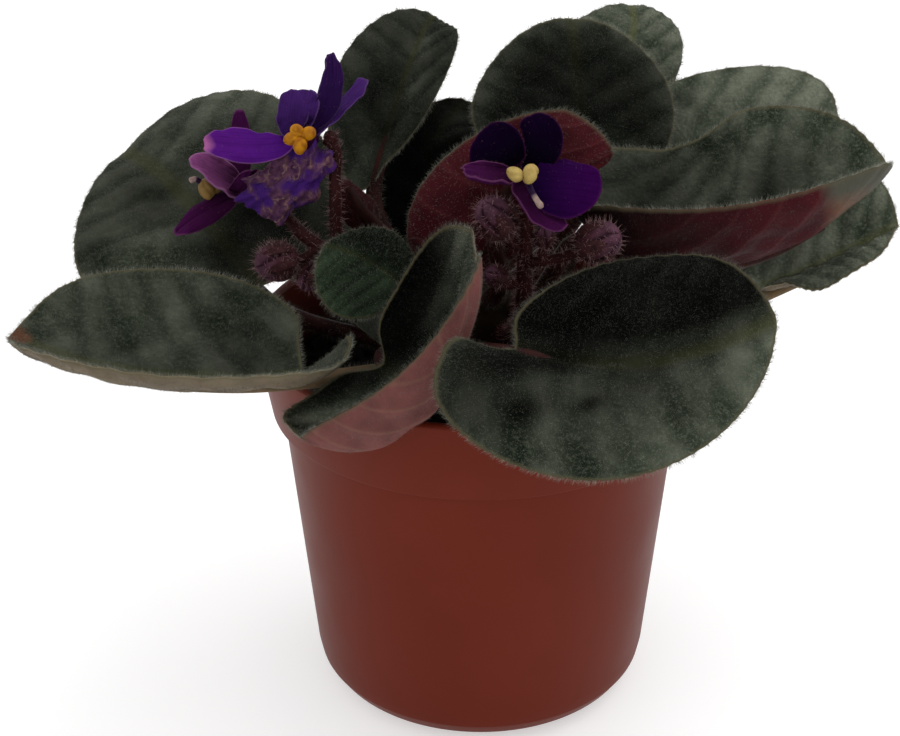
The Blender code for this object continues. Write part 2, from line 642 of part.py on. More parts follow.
def make_soil(made):
    """The potting mix fills the pot to below the rim, with a plain hole for the stem."""
    rng = np.random.default_rng(7)
    floor = FOOT_HEIGHT + BASE_THICKNESS + GAP
    ledge = POT_HEIGHT - COLLAR_HEIGHT
    hole = CROWN_FOOT_RADIUS + GAP
    rows = [(floor, BASE_RADIUS - BASE_EDGE_RADIUS - 0.2)]
    for height in (3.6, BASE_EDGE_RADIUS + 1.2, ledge - 0.4, ledge + 1.6):
        rows.append((height, inner_radius(height) - GAP - 0.15))
    points, faces = [], []
    angles = 2 * math.pi * np.arange(SOIL_SEGMENTS) / SOIL_SEGMENTS

    def add_ring(radius, heights, centre):
        start = len(points)
        for angle, height in zip(angles, heights):
            x = centre[0] + radius * math.cos(angle)
            y = centre[1] + radius * math.sin(angle)
            points.append((x, y, float(height)))
        return start

    level = np.ones(SOIL_SEGMENTS)
    starts = [add_ring(radius, level * height, (0, 0)) for height, radius in rows]
    edge = inner_radius(SOIL_TOP - 1) - GAP - 0.25
    starts.append(add_ring(edge, level * (SOIL_TOP - 1.0), (0, 0)))
    for share in (0.85, 0.6, 0.35):
        bumps = SOIL_TOP + SOIL_BUMP * (rng.random(SOIL_SEGMENTS) - 0.5)
        shift = 1 - share
        centre = (CROWN_CENTRE[0] * shift, CROWN_CENTRE[1] * shift)
        starts.append(add_ring(edge * share, bumps, centre))
    starts.append(add_ring(hole, level * (SOIL_TOP + 0.2), CROWN_CENTRE))
    starts.append(add_ring(hole, level * (CROWN_BOTTOM - GAP), CROWN_CENTRE))
    for low, high in zip(starts[:-1], starts[1:]):
        for j in range(SOIL_SEGMENTS):
            k = (j + 1) % SOIL_SEGMENTS
            faces.append((low + j, low + k, high + k))
            faces.append((low + j, high + k, high + j))
    faces.append(tuple(reversed(range(SOIL_SEGMENTS))))
    faces.append(tuple(range(starts[-1], starts[-1] + SOIL_SEGMENTS)))
    finish(mesh_object("soil", points, faces), made)


def make_crown(made):
    """The short fleshy stem that every petiole and flower stalk grows from."""
    heights = [CROWN_BOTTOM, SOIL_TOP + 1, SOIL_TOP + 2, 58, 64, 67, 69, 70.4]
    path = [(CROWN_CENTRE[0], CROWN_CENTRE[1], height) for height in heights]
    radii = [crown_radius(height) for height in heights]
    finish(tube("crown_stem", path, radii, CROWN_SEGMENTS), made)


def ball(name, centre, long_axis, radius, half_length):
    """A closed egg shape about a centre, along an axis."""
    way = unit(long_axis)
    steps = np.array((-1.0, -0.75, -0.25, 0.3, 0.75, 1.0))
    path = np.array(centre) + way * steps[:, None] * half_length
    radii = radius * np.sqrt(np.maximum(1 - (steps * 0.98) ** 2, 0.03))
    return tube(name, path, radii, BUD_SIDES)


def sepals(name, foot, tip, radius, reach):
    """Narrow pointed blades round the foot of a bud or a bloom, pressed against it."""
    foot, tip = np.array(foot, float), np.array(tip, float)
    along = tip - foot
    way = unit(along)
    side = unit(np.cross(way, (0.2, 0.3, 1.0)))
    other = np.cross(way, side)
    made = []
    for i in range(SEPALS):
        turn = 2 * math.pi * (i + 0.25) / SEPALS
        out = math.cos(turn) * side + math.sin(turn) * other
        cross = np.cross(out, way)
        form = petal_form(
            foot + out * radius * 0.35, foot + along * 0.5 * reach + out * radius * 0.98,
            foot + along * reach + out * radius * 1.0,
            foot + along * 0.5 * reach + out * radius * 0.9 + cross * 0.75,
            foot + along * 0.5 * reach + out * radius * 0.9 - cross * 0.75,
            bulge=(0, 0), wave=(0, 3, 0),
        )
        made.append(blade_mesh(f"{name}_{i}", form, SEPAL_RINGS, SEPAL_THICKNESS, 0))
    return made


def make_stalk(name, spec, made):
    """A branched stalk with its calyxes and buds, all one solid."""
    turn, height = spec["root"]
    root = crown_point(turn, height, GAP + 0.25)
    out = root - crown_point(turn, height, -2.5)
    main = [root, root + out * 0.8, *[np.array(p, float) for p in spec["main"]]]
    pieces = [tube(name + "_main", smooth(main, 8), np.linspace(1.5, 1.15, 8), STALK_SIDES)]
    for i, path in enumerate(spec["branches"]):
        pieces.append(
            tube(f"{name}_branch_{i}", smooth(path, 7), np.linspace(1.05, 0.85, 7), STALK_SIDES)
        )
    for i, (foot, tip) in enumerate(spec["calyxes"]):
        foot, tip = np.array(foot, float), np.array(tip, float)
        pieces.append(ball(f"{name}_calyx_{i}", foot, tip - foot, 1.25, 0.9))
    for i, (foot, tip, radius) in enumerate(spec["buds"]):
        foot, tip = np.array(foot, float), np.array(tip, float)
        way = unit(tip - foot)
        heart = tip - way * radius * 1.2
        droop = np.array((0, 0, -0.8))
        path = [foot, foot * 0.5 + heart * 0.5 + droop, heart]
        pieces.append(tube(f"{name}_foot_{i}", smooth(path, 5), [0.8] * 5, 5))
        pieces.append(ball(f"{name}_bud_{i}", heart, way, radius, radius * 1.25))
        pieces += sepals(f"{name}_sepal_{i}", heart - way * radius * 1.25, tip, radius, 0.8)
    finish(joined(name, pieces), made)


def smooth(points, steps):
    """That many points evenly along a smooth curve through the given ones."""
    points = np.array(points, float)
    lengths = np.linalg.norm(np.diff(points, axis=0), axis=1)
    t = np.concatenate([[0], np.cumsum(lengths)])
    slopes = np.gradient(points, t, axis=0)
    places = np.linspace(0, t[-1], steps)
    made = []
    for place in places:
        i = min(np.searchsorted(t, place, side="right") - 1, len(points) - 2)
        span = t[i + 1] - t[i]
        u = (place - t[i]) / span
        made.append(
            points[i] * (1 + 2 * u) * (1 - u) ** 2
            + slopes[i] * span * u * (1 - u) ** 2
            + points[i + 1] * u * u * (3 - 2 * u)
            - slopes[i + 1] * span * u * u * (1 - u)
        )
    return np.array(made)


def make_bloom(name, spec, petal_colour, anther_colour):
    """Five petals joined to a short throat, and the anthers and style in front of it."""
    front, back = (np.array(p, float) for p in spec["throat"])
    throat = tube(
        f"{name}_throat", [front + (front - back) * 0.1, front, (front + back) / 2, back],
        [THROAT_RADIUS * 0.5, THROAT_RADIUS, THROAT_RADIUS * 0.8, THROAT_RADIUS * 0.55], STALK_SIDES,
    )
    pieces = [throat]
    for i, form in enumerate(spec["petals"]):
        pieces.append(blade_mesh(f"{name}_petal_{i}", form, PETAL_RINGS, PETAL_THICKNESS, 0))
    finish(joined(f"corolla_{name}", pieces), petal_colour)
    pieces = []
    for i, (centre, radius, way) in enumerate(spec["anthers"]):
        pieces.append(ball(f"{name}_anther_{i}", centre, way, radius, radius * ANTHER_LENGTH))
    if spec["style"]:
        pieces.append(tube(f"{name}_style", smooth(spec["style"], 5), [0.45] * 4 + [0.35], 6))
    finish(joined(f"anthers_{name}", pieces), anther_colour)


def clear_scene():
    for obj in list(bpy.data.objects):
        bpy.data.objects.remove(obj, do_unlink=True)


def main():
    clear_scene()
    terracotta = material("terracotta_plastic", (0.33, 0.07, 0.035), 0.45)
    earth = material("potting_mix", (0.03, 0.02, 0.015), 0.95)
    leaf_green = material("leaf_green", (0.04, 0.075, 0.035), 0.8)
    stem_red = material("stem_red", (0.12, 0.03, 0.03), 0.7)
    make_pot(terracotta)
    make_soil(earth)
    make_crown(stem_red)
    petal_violet = material("petal_violet", (0.07, 0.01, 0.25), 0.6)
    anther_yellow = material("anther_yellow", (0.75, 0.42, 0.05), 0.6)
    for name, spec in LEAVES.items():
        make_leaf(name, spec, leaf_green)
    for name, spec in STALKS.items():
        make_stalk(name, spec, stem_red)
    for name, spec in BLOOMS.items():
        make_bloom(name, spec, petal_violet, anther_yellow)


main()
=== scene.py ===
"""Looks of the potted miniature african violet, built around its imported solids.

Each leaf, bloom and stalk repeats the form of its solid in a finer mesh, with veins, a toothed
margin, ruffled petals and hairs. Places below are in millimetres and become metres when a mesh is
made. The floor, the lights and the camera come last.
"""

import math

import bpy
import numpy as np
from mathutils import Matrix

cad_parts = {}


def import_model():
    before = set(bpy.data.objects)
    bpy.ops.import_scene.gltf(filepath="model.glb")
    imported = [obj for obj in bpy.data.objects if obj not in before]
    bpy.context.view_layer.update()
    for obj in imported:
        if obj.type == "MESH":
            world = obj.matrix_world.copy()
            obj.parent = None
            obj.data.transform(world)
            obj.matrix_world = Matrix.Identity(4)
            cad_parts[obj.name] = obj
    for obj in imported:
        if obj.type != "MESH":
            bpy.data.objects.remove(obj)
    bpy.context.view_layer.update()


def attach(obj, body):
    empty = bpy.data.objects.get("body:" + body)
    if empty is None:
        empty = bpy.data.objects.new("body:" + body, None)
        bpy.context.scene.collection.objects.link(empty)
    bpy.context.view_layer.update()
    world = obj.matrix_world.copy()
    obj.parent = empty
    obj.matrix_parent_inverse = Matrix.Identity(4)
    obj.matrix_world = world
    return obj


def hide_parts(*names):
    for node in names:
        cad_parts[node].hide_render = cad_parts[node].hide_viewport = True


MM = 0.001

# Pot, a lathed thin wall with a collar round the top, as its solid is
POT_TURNS = 160
POT_SOFT_EDGE = 0.22
NEARLY_STRAIGHT = math.cos(math.radians(165))
SHARP_TURN = math.radians(40)
POT_HEIGHT = 62.0
# Painted shade on the inner wall: how dark it gets, and over how many millimetres below the rim.
INNER_WALL_SHADE = 0.03
INNER_WALL_SHADE_FADE = 5.0
RIM_RADIUS = 35.0
COLLAR_HEIGHT = 13.1
COLLAR_LOW_RADIUS = 32.8
BODY_TOP_RADIUS = 31.1
BASE_RADIUS = 27.2
BASE_EDGE_RADIUS = 6.2
BASE_EDGE_STEPS = 4
WALL = 1.2
BASE_THICKNESS = 1.6
FOOT_HEIGHT = 0.8
FOOT_WIDTH = 5.0
PAD_RADIUS = 5.5
DRAIN_HOLES = 5
DRAIN_HOLE_RADIUS = 2.6
DRAIN_HOLE_SIDES = 48
DRAIN_HOLE_CUT = (-3, 2, 6)
DRAIN_CIRCLE_RADIUS = 11.0

# Potting mix, with crumbs on it, and the short stem that stands in it
GAP = 0.3
SOIL_TOP = 52.0
SOIL_TURNS = 96
SOIL_ROWS = 34
SOIL_ROUGHNESS = 0.5
SOIL_SEED = 7
CRUMBS = 500
CRUMB_SIZES = (0.25, 0.8)
CROWN_CENTRE = (0.5, -2.0)
CROWN_BOTTOM = 40.0
CROWN_TOP = 71.0
CROWN_RADIUS = 4.2
CROWN_FOOT_RADIUS = 3.4
CROWN_SIDES = 40
CROWN_ROWS = 60
SCAR_HEIGHT = 0.12

# Leaf blades, in rows from the toothed margin to the middle. A small leaf has coarser rows and
# fewer teeth. The last values fit a blade's own measures to a leaf that is folded across.
LEAF_SEED = 100
LEAF_TURNS = 216
SMALL_LEAF_TURNS = 144
SMALL_LEAF_COARSENESS = 1.4
SMALL_LEAF_TEETH = 0.55
FULL_LEAF_LENGTH = 38
LEAF_ROWS = (1.0, 0.985, 0.965, 0.94, 0.91)
LEAF_ROW_STEP = 0.045
LEAF_THICKNESS = 1.2
LEAF_MARGIN_THICKNESS = 0.4
LEAF_TEETH = 84
LEAF_TOOTH = 0.004
LEAF_WIDEST = 0.45
LEAF_SINUS = 0.13
EAR_START = 0.1
EAR_LENGTH = 0.35
EAR_INNER = 0.25
EAR_OUTER = 1.2
VEINS = 5.5
VEIN_SLANT = 0.3
QUILT_HEIGHT = 0.55
DAPPLE_HEIGHT = 0.3
MIDRIB_GROOVE = 0.35
MIDRIB_WIDTH = 0.05
FOLD_SINUS = 0.16
FOLD_DEPTH = 0.24
FOLD_LOBE = 0.3
FOLD_START = 0.95
FOLD_LENGTH = 1.8
FOLD_HALF_WIDTH = 0.55

# Petioles, each ending in the midrib, and how deep they and the stalks stand in the crown's side
ROOT_DEPTH = 0.6
PETIOLE_RADIUS = 1.45
PETIOLE_DROP = 0.25
PETIOLE_POINTS = 7
PETIOLE_STEPS = 36
MIDRIB_END_RADIUS = 0.55
MIDRIB_REACH = 0.78
MIDRIB_POINTS = 5
TUBE_SIDES = 16

# Hairs: how many on a square millimetre, or on a millimetre of margin, their length and width
TOP_HAIRS = (15.0, 0.5, 0.035)
UNDER_HAIRS = (7.0, 0.4, 0.035)
MARGIN_HAIRS = (16.0, 0.85, 0.04)
PETIOLE_HAIRS = (6.0, 0.9, 0.04)
STALK_HAIRS = (4.0, 1.2, 0.035)
BUD_HAIRS = (2.5, 1.3, 0.045)
PETAL_HAIRS = (1.2, 0.35, 0.03)
PETAL_MARGIN_HAIRS = (3.0, 0.3, 0.03)

# Petals, throats, anthers and styles
BLOOM_SEED = 300
PETAL_TURNS = 96
PETAL_ROWS = (1.0, 0.97, 0.93)
PETAL_ROW_STEP = 0.07
PETAL_THICKNESS = 0.5
PETAL_MARGIN_THICKNESS = 0.22
PETAL_WIDEST = 0.56
THROAT_RADIUS = 1.4
THROAT_SIDES = 24
THROAT_STEPS = 12
ANTHER_LENGTH = 1.3
STYLE_SIDES = 12
STYLE_RADII = np.append(np.full(12, 0.42), (0.45, 0.5, 0.45, 0.25))

# Stalks, with the radii at their two ends, calyxes, buds and sepals
STALK_SEED = 500
STALK_STEPS = 40
STALK_RADII = (1.5, 1.15)
BRANCH_RADII = (1.05, 0.85)
BUD_STEM_STEPS = 24
BUD_STEM_RADII = (0.8, 0.8)
CALYX_RADIUS = 1.25
CALYX_HALF_LENGTH = 1.1
BUD_SIDES = 40
BUD_STEPS = 26
BUD_FURROW = 0.22
BUD_LENGTH = 1.25
SEPALS = 5
SEPAL_REACH = 0.8
SEPAL_THICKNESS = 0.5
SEPAL_MARGIN_THICKNESS = 0.25
SEPAL_TURNS = 36

# Colours
LEAF_DARK = (0.0035, 0.0055, 0.0032)
LEAF_LIGHT = (0.030, 0.033, 0.0245)
LEAF_OLIVE = (0.030, 0.032, 0.010)
LEAF_MARGIN = (0.085, 0.075, 0.042)
WITHERED = (0.09, 0.04, 0.022)
WORN_TAN = (0.12, 0.060, 0.038)
WORN_GREEN = (0.060, 0.060, 0.045)
BUD_FOOT = (0.054, 0.018, 0.024)
BUD_TIP = (0.094, 0.038, 0.060)
BUD_DARK_AND_FURROW_SHADE = (0.008, 0.001, 0.004)
STYLE_FOOT = (0.012, 0.002, 0.022)
STYLE_PALE = (0.22, 0.13, 0.12)
STYLE_PALEST = (0.34, 0.26, 0.22)
SOIL_DARK = (0.001, 0.0006, 0.0005)
SOIL_LIGHT = (0.008, 0.005, 0.003)
POT_COLOUR = (0.104, 0.0125, 0.0045)
POT_COLOUR_WORN = (0.117, 0.0155, 0.0065)
POT_DUST = (0.15, 0.07, 0.055)
WHITE = (1.0, 1.0, 1.0)

# Each kind of underside: its colour, that of its veins, and the stem that goes with it
UNDERSIDES = {
    "wine": ((0.040, 0.0040, 0.0065), (0.075, 0.016, 0.018), "petiole_red"),
    "pink": ((0.12, 0.0435, 0.0396), (0.15, 0.0768, 0.055), "petiole_red"),
    "pale": ((0.150, 0.120, 0.080), (0.150, 0.110, 0.080), "petiole_tan"),
}
# Stem tissues: two colours, and how fine their streaks are
STEMS = {
    "crown_tissue": ((0.008, 0.005, 0.002), (0.020, 0.012, 0.006), 300.0),
    "stalk_red": ((0.010, 0.002, 0.002), (0.034, 0.007, 0.007), 300.0),
    "sepal_skin": ((0.014, 0.004, 0.005), (0.055, 0.018, 0.020), 900.0),
    "petiole_red": ((0.010, 0.002, 0.002), (0.030, 0.008, 0.006), 300.0),
    "petiole_tan": ((0.10, 0.065, 0.03), (0.15, 0.10, 0.055), 300.0),
}
HAIRS = {
    "hair_pale": (0.19, 0.19, 0.155),
    "hair_pink": (0.20, 0.105, 0.105),
    "hair_bud": (0.40, 0.24, 0.24),
}
ANTHERS = {
    "anther_orange": ((0.46, 0.19, 0.006), (0.22, 0.07, 0.003)),
    "anther_dull": ((0.20, 0.12, 0.035), (0.12, 0.07, 0.02)),
    "anther_pale": ((0.44, 0.32, 0.10), (0.30, 0.20, 0.06)),
}
# Each petal's base, tip and margin, and its very end where that differs. The crumpled one's base,
# smooth folds, paler parts and wrinkles.
PETALS = {
    "violet": ((0.055, 0.006, 0.145), (0.075, 0.008, 0.160), (0.26, 0.10, 0.26), (0.34, 0.10, 0.26)),
    "dusky": ((0.018, 0.005, 0.048), (0.050, 0.015, 0.115), (0.10, 0.05, 0.15)),
    # The next kind is the dusky one darkened: painted shade for a petal.
    "dim": ((0.008, 0.002, 0.022), (0.025, 0.007, 0.060), (0.06, 0.03, 0.09)),
    "deep": ((0.005, 0.0003, 0.018), (0.026, 0.001, 0.048), (0.055, 0.008, 0.055)),
    # The next kind is the deep one darkened further: painted shade for two petals.
    "night": ((0.0005, 0.0000, 0.0018), (0.0045, 0.0004, 0.0108), (0.030, 0.004, 0.030)),
    "magenta": ((0.022, 0.003, 0.018), (0.045, 0.005, 0.045), (0.12, 0.035, 0.10)),
    "pink": ((0.012, 0.001, 0.010), (0.19, 0.050, 0.16), (0.28, 0.12, 0.25)),
    "withered": ((0.036, 0.012, 0.040), (0.045, 0.012, 0.120), (0.120, 0.050, 0.085),
                 (0.23, 0.13, 0.12)),
}

# Floor, light and camera. Places and sizes are in metres here, the floor's in millimetres, and
# turns in degrees. The camera was worked out from the pot's rim, collar and base.
FLOOR_HALF = 4000.0
FLOOR_DEPTH = 0.05
FLOOR_GREYS = (0.65, 0.66)
FLOOR_GLOW = 0.47
WORLD_LIGHT = 0.95
LAMP_PLACE = (0.45, 0.15, 1.15)
LAMP_TARGET = (0, 0, 0.05)
LAMP_SIZE = 1.0
LAMP_POWER = 4.0
CAMERA_PLACE = (0.0, -0.25715, 0.1845)
CAMERA_PITCH = 27.0
CAMERA_YAW = -1.05
CAMERA_ROLL = 0.45
CAMERA_LENS = 73.28
CAMERA_SENSOR = 36.0

# What a leaf is like where nothing else is given. Its form: how much each half bulges, and how high
# each base lobe lifts. Its look: the kind of underside; hair, how light its hairs are; pile, how
# much of that they keep where the leaf is painted dark; rim, how much lighter its margin is painted,
# a painted sheen; how light its underside is painted at the base and the tip, as painted light and
# shade; blots, (along, aside, size, times) of places painted lighter or darker, painted highlights
# and painted shade, right across where aside is None; worn, from where along its underside is tan
# and green; and spot, (along, aside, size) of a withered place. The top's green is multiplied by
# tint.
PLAIN_LEAF = dict(
    widest=LEAF_WIDEST, sinus=LEAF_SINUS, folded_across=False, small=False, bulge=(0.05, 0.05),
    ears=(0, 0), under="wine", hair=1.0, pile=0.0, rim=0.0, sheen=0.05, under_painted_shading=(1.0, 1.0),
    tint=(1.0, 1.0, 1.0), painted_patches=(), worn=None, spot=None,
)

# Each leaf: where the petiole leaves the crown (turn in degrees, height), the five points that
# its blade passes through, how far each base lobe reaches back, the waves of its margin (height,
# number, phase), how pointed each half is from 0.5, blunt, to 1.3, pointed, and how light its top
# is painted at the base and at the tip of its left half and then of its right half, as painted
# light and shade, dark inside the plant and light on the outer leaves. Pairs go left, right.
LEAVES = {
    "left_front": dict(
        root=(222, 57), base=(-25.2, -25, 65.6), mid=(-44.0, -30, 67.6), tip=(-65.2, -30, 73.5),
        left=(-36.8, -41, 73.6), right=(-43.6, -13, 75.9), bulge=(-0.08, -0.08), lobes=(0.12, 0.03),
        ears=(20.0, 13.0), wave=(0.5, 3, 0.4), width=(0.75, 0.40), tones=(1.5, 2.1, 1.9, 2.1),
        under="pale", hair=0.6, rim=0.3, spot=(1.0, 0.0, 0.07),
        painted_patches=((0.42, -0.5, 0.16, 1.1), (0.64, -0.55, 0.09, 1.35), (0.20, -0.25, 0.13, 0.55)),
    ),
    "left_back": dict(
        root=(171, 56), base=(-34.5, 2, 66.6), mid=(-46.6, 13, 76.9), tip=(-57.8, 24, 80.3),
        left=(-60.1, -1, 67.6), right=(-29.2, 29, 84.7), bulge=(0.05, 0.06), lobes=(0.12, 0.5),
        wave=(0.4, 4, 1.0), width=(1.06, 0.5), tones=(0.9, 1.3, 1.3, 1.9), hair=0.6, rim=0.3,
        under_painted_shading=(0.1, 0.5),
        painted_patches=((0.30, 0.60, 0.20, 3.4), (0.75, -0.75, 0.13, 1.7), (0.20, -0.35, 0.17, 0.08),
               (0.71, -0.17, 0.07, 1.6), (0.81, 0.50, 0.12, 1.3), (0.54, 0.2, 0.09, 0.6),
               (0.12, 0.1, 0.12, 0.5)),
    ),
    "back_left": dict(
        root=(150, 64), base=(-16.4, 9, 81.6), mid=(-11.5, 20, 95.1), tip=(-7.3, 30, 101.5),
        left=(-22.8, 22, 95.0), right=(-5.1, 22, 95.0), lobes=(0.05, -0.05), wave=(0.5, 4, 0),
        width=(1.16, 1.14), tones=(0.6, 1.1, 0.6, 1.1), hair=0.6, rim=0.5,
        painted_patches=((0.63, -0.15, 0.12, 1.7), (0.35, 0.33, 0.12, 0.5), (0.35, -0.31, 0.09, 2.0),
               (0.04, 0.24, 0.07, 2.6), (0.2, -0.05, 0.08, 0.4), (0.85, 0.3, 0.1, 0.7)),
    ),
    "back_middle": dict(
        root=(120, 60), base=(-8.2, 9, 71.0), mid=(-8.8, 19, 79.8), tip=(-2.3, 31, 87.1),
        left=(-16.6, 17, 77.1), right=(1.1, 22, 79.1), lobes=(0.05, 0.1), wave=(0.4, 4, 0),
        width=(0.95, 0.9), small=True, tones=(0.01, 0.03, 0.01, 0.03), hair=0.5, rim=2.0,
        sheen=0.0, under_painted_shading=(0.1, 0.1), painted_patches=((0.80, -0.13, 0.15, 18.0), (0.25, 0.0, 0.1, 6.0)),
    ),
    "back_right": dict(
        root=(50, 66), base=(16.5, 6.5, 82.1), mid=(15.6, 14, 90.3), tip=(14.6, 26, 101.8),
        left=(-1.1, 17, 89.7), right=(30.1, 17, 89.8), bulge=(0.08, 0.08), lobes=(0.10, 0.10),
        wave=(0.6, 4, 0.8), width=(1.30, 1.01), tones=(0.18, 0.36, 0.28, 0.42), hair=0.7,
        pile=0.1, rim=3.0, sheen=0.02, painted_patches=((0.20, -0.3, 0.15, 2.5), (0.58, 0.75, 0.12, 1.8)),
    ),
    "back_far": dict(
        root=(68, 57), base=(13.4, 24, 77.7), mid=(22.9, 34, 90.2), tip=(25.7, 47, 97.9),
        left=(10.9, 38, 93.2), right=(32.4, 36, 89.4), bulge=(0.08, 0.08), lobes=(0.10, 0.10),
        wave=(0.5, 4, 0.8), width=(1.09, 0.97), tones=(3.2, 4.4, 3.2, 4.4), hair=0.15,
    ),
    "young_centre": dict(
        root=(285, 68), base=(3.0, -8, 75.5), mid=(3.0, -10, 85.5), tip=(11.9, -6.5, 98.2),
        left=(17.5, -4, 90.4), right=(-10.6, -5, 78.5), bulge=(-0.12, -0.12), lobes=(0.05, 0.05),
        wave=(0.3, 4, 0), width=(1.24, 1.30), tones=(0.4, 0.4, 0.4, 0.4), under_painted_shading=(1.1, 1.25),
    ),
    "right_folded": dict(
        root=(-11, 64), base=(16.6, -6, 79.0), mid=(36.2, -5, 74.3), tip=(61.3, 2, 86.0),
        left=(38.2, 11.5, 90.7), right=(36.6, -12, 85.5), bulge=(-0.08, -0.10), lobes=(0.24, 0.12),
        wave=(0.4, 3, 0.5), width=(0.72, 0.69), tones=(1.4, 3.5, 1.1, 3.5), hair=0.6, rim=0.3,
        under_painted_shading=(0.15, 1.6), worn=0.76, spot=(0.72, -1.0, 0.09),
        painted_patches=((0.66, 0.42, 0.12, 0.35), (0.69, 0.88, 0.15, 1.3), (0.1, 0.5, 0.12, 0.6),
               (0.45, 0.35, 0.06, 0.6), (0.94, -0.7, 0.1, 1.6)),
    ),
    "right_back": dict(
        root=(36, 60), base=(19.8, 11, 74.9), mid=(36.5, 21, 80.3), tip=(58.6, 30, 83.6),
        left=(32.6, 30, 90.8), right=(47.0, 12, 79.0), lobes=(0.08, 0.08), wave=(0.4, 4, 0.2),
        width=(0.83, 0.90), tones=(2.9, 5.6, 2.9, 5.6), hair=0.2, painted_patches=((0.42, 0.75, 0.07, 0.55),),
    ),
    "right_low": dict(
        root=(4, 60), base=(43.8, 4, 65.3), mid=(54.4, 9, 67.5), tip=(65.7, 11, 72.8),
        left=(53.4, 24, 74.8), right=(54.1, -2, 69.3), bulge=(0.05, 0.08), lobes=(0.10, -0.10),
        wave=(0.4, 4, 0.2), width=(1.00, 0.49), tones=(4.2, 6.0, 4.2, 5.8), under="pale",
        hair=0.15, painted_patches=((-0.08, 0.0, 0.14, 2.2),),
    ),
    "front_right": dict(
        root=(277, 56), base=(4.7, -39.5, 76.6), mid=(20.8, -38, 73.5), tip=(39.9, -33.5, 77.9),
        left=(21.6, -19.5, 80.7), right=(11.6, -50.5, 63.1), bulge=(0.10, 0.08), lobes=(0.05, 0.19),
        ears=(0, 14), wave=(0.25, 4, 0.3), width=(0.95, 0.8), tones=(0.02, 0.12, 1.0, 2.6),
        hair=0.75, pile=0.35, rim=0.5, sheen=0.03, under_painted_shading=(0.05, 0.4),
        painted_patches=((0.20, -0.56, 0.07, 0.12), (0.38, -0.41, 0.05, 0.1), (0.50, -0.14, 0.13, 0.4),
               (0.92, -0.34, 0.14, 1.2), (0.31, -0.76, 0.12, 1.4), (0.65, -0.7, 0.15, 1.3),
               (-0.04, -0.30, 0.12, 0.3), (0.05, -0.12, 0.1, 0.2), (0.88, 0.10, 0.1, 1.4),
               (0.52, 0.27, 0.12, 3.0), (0.16, -0.04, 0.10, 0.15), (0.02, -0.62, 0.12, 0.65)),
    ),
    "front_cupped": dict(
        root=(243, 61), base=(-0.5, -25, 85.3), mid=(-6.4, -36, 66.9), tip=(-24.5, -35.5, 60.6),
        left=(-5.8, -38, 78.0), right=(-13.8, -27.5, 68.2), bulge=(-0.10, -0.10),
        lobes=(-0.04, 0.02), wave=(0.2, 3, 0.3), width=(1.22, 0.58), folded_across=True,
        tones=(0.03, 0.06, 0.02, 0.06), under="pink", hair=0.8, pile=0.1, rim=0.5, sheen=0.0,
        under_painted_shading=(1.15, 1.3),
        # Painted shade darkens the inside of the fold, and the first patch paints a sheen of felt
        # across it.
        painted_patches=((0.43, None, 0.22, 54.0), (0.06, 0.65, 0.16, 9.0), (0.02, 0.3, 0.18, 5.5),
               (0.27, 0.92, 0.12, 0.4)),
    ),
    "small_centre": dict(
        root=(223, 66), base=(-11.1, -16, 75.0), mid=(-15.9, -15, 78.5), tip=(-22.5, -12, 79.7),
        left=(-20.5, -20.5, 72.6), right=(-11.9, -9, 79.8), lobes=(0.05, 0.05), wave=(0.2, 4, 0),
        width=(0.75, 1.09), small=True, tones=(0.55, 0.85, 0.15, 0.35), hair=0.9, pile=0.5,
        rim=0.6, tint=(0.9, 1.25, 0.95), painted_patches=((0.2, 0.05, 0.09, 2.0), (0.75, 0.0, 0.12, 1.5)),
    ),
    "small_back": dict(
        root=(178, 68), base=(-16.1, 1, 76.9), mid=(-18.6, 0, 80.7), tip=(-20.7, 2, 84.3),
        left=(-16.8, 3, 80.3), right=(-21.5, 0, 79.6), bulge=(0, 0), lobes=(0.05, 0.05),
        wave=(0.2, 3, 0), width=(0.9, 0.9), small=True, tones=(0.5, 0.5, 0.5, 0.5),
        under_painted_shading=(0.5, 0.6),
    ),
}


def petal(base, mid, tip, left, right, look=None, bulge=(0.1, 0.1), wave=(0.25, 3, 0.0), width=0.9):
    """A petal's or a sepal's values, in the same terms as a leaf's."""
    return dict(
        base=base, mid=mid, tip=tip, left=left, right=right, look=look, bulge=bulge, wave=wave,
        width=(width, width), lobes=(0, 0), ears=(0, 0), widest=PETAL_WIDEST, sinus=0.01,
        folded_across=False,
    )


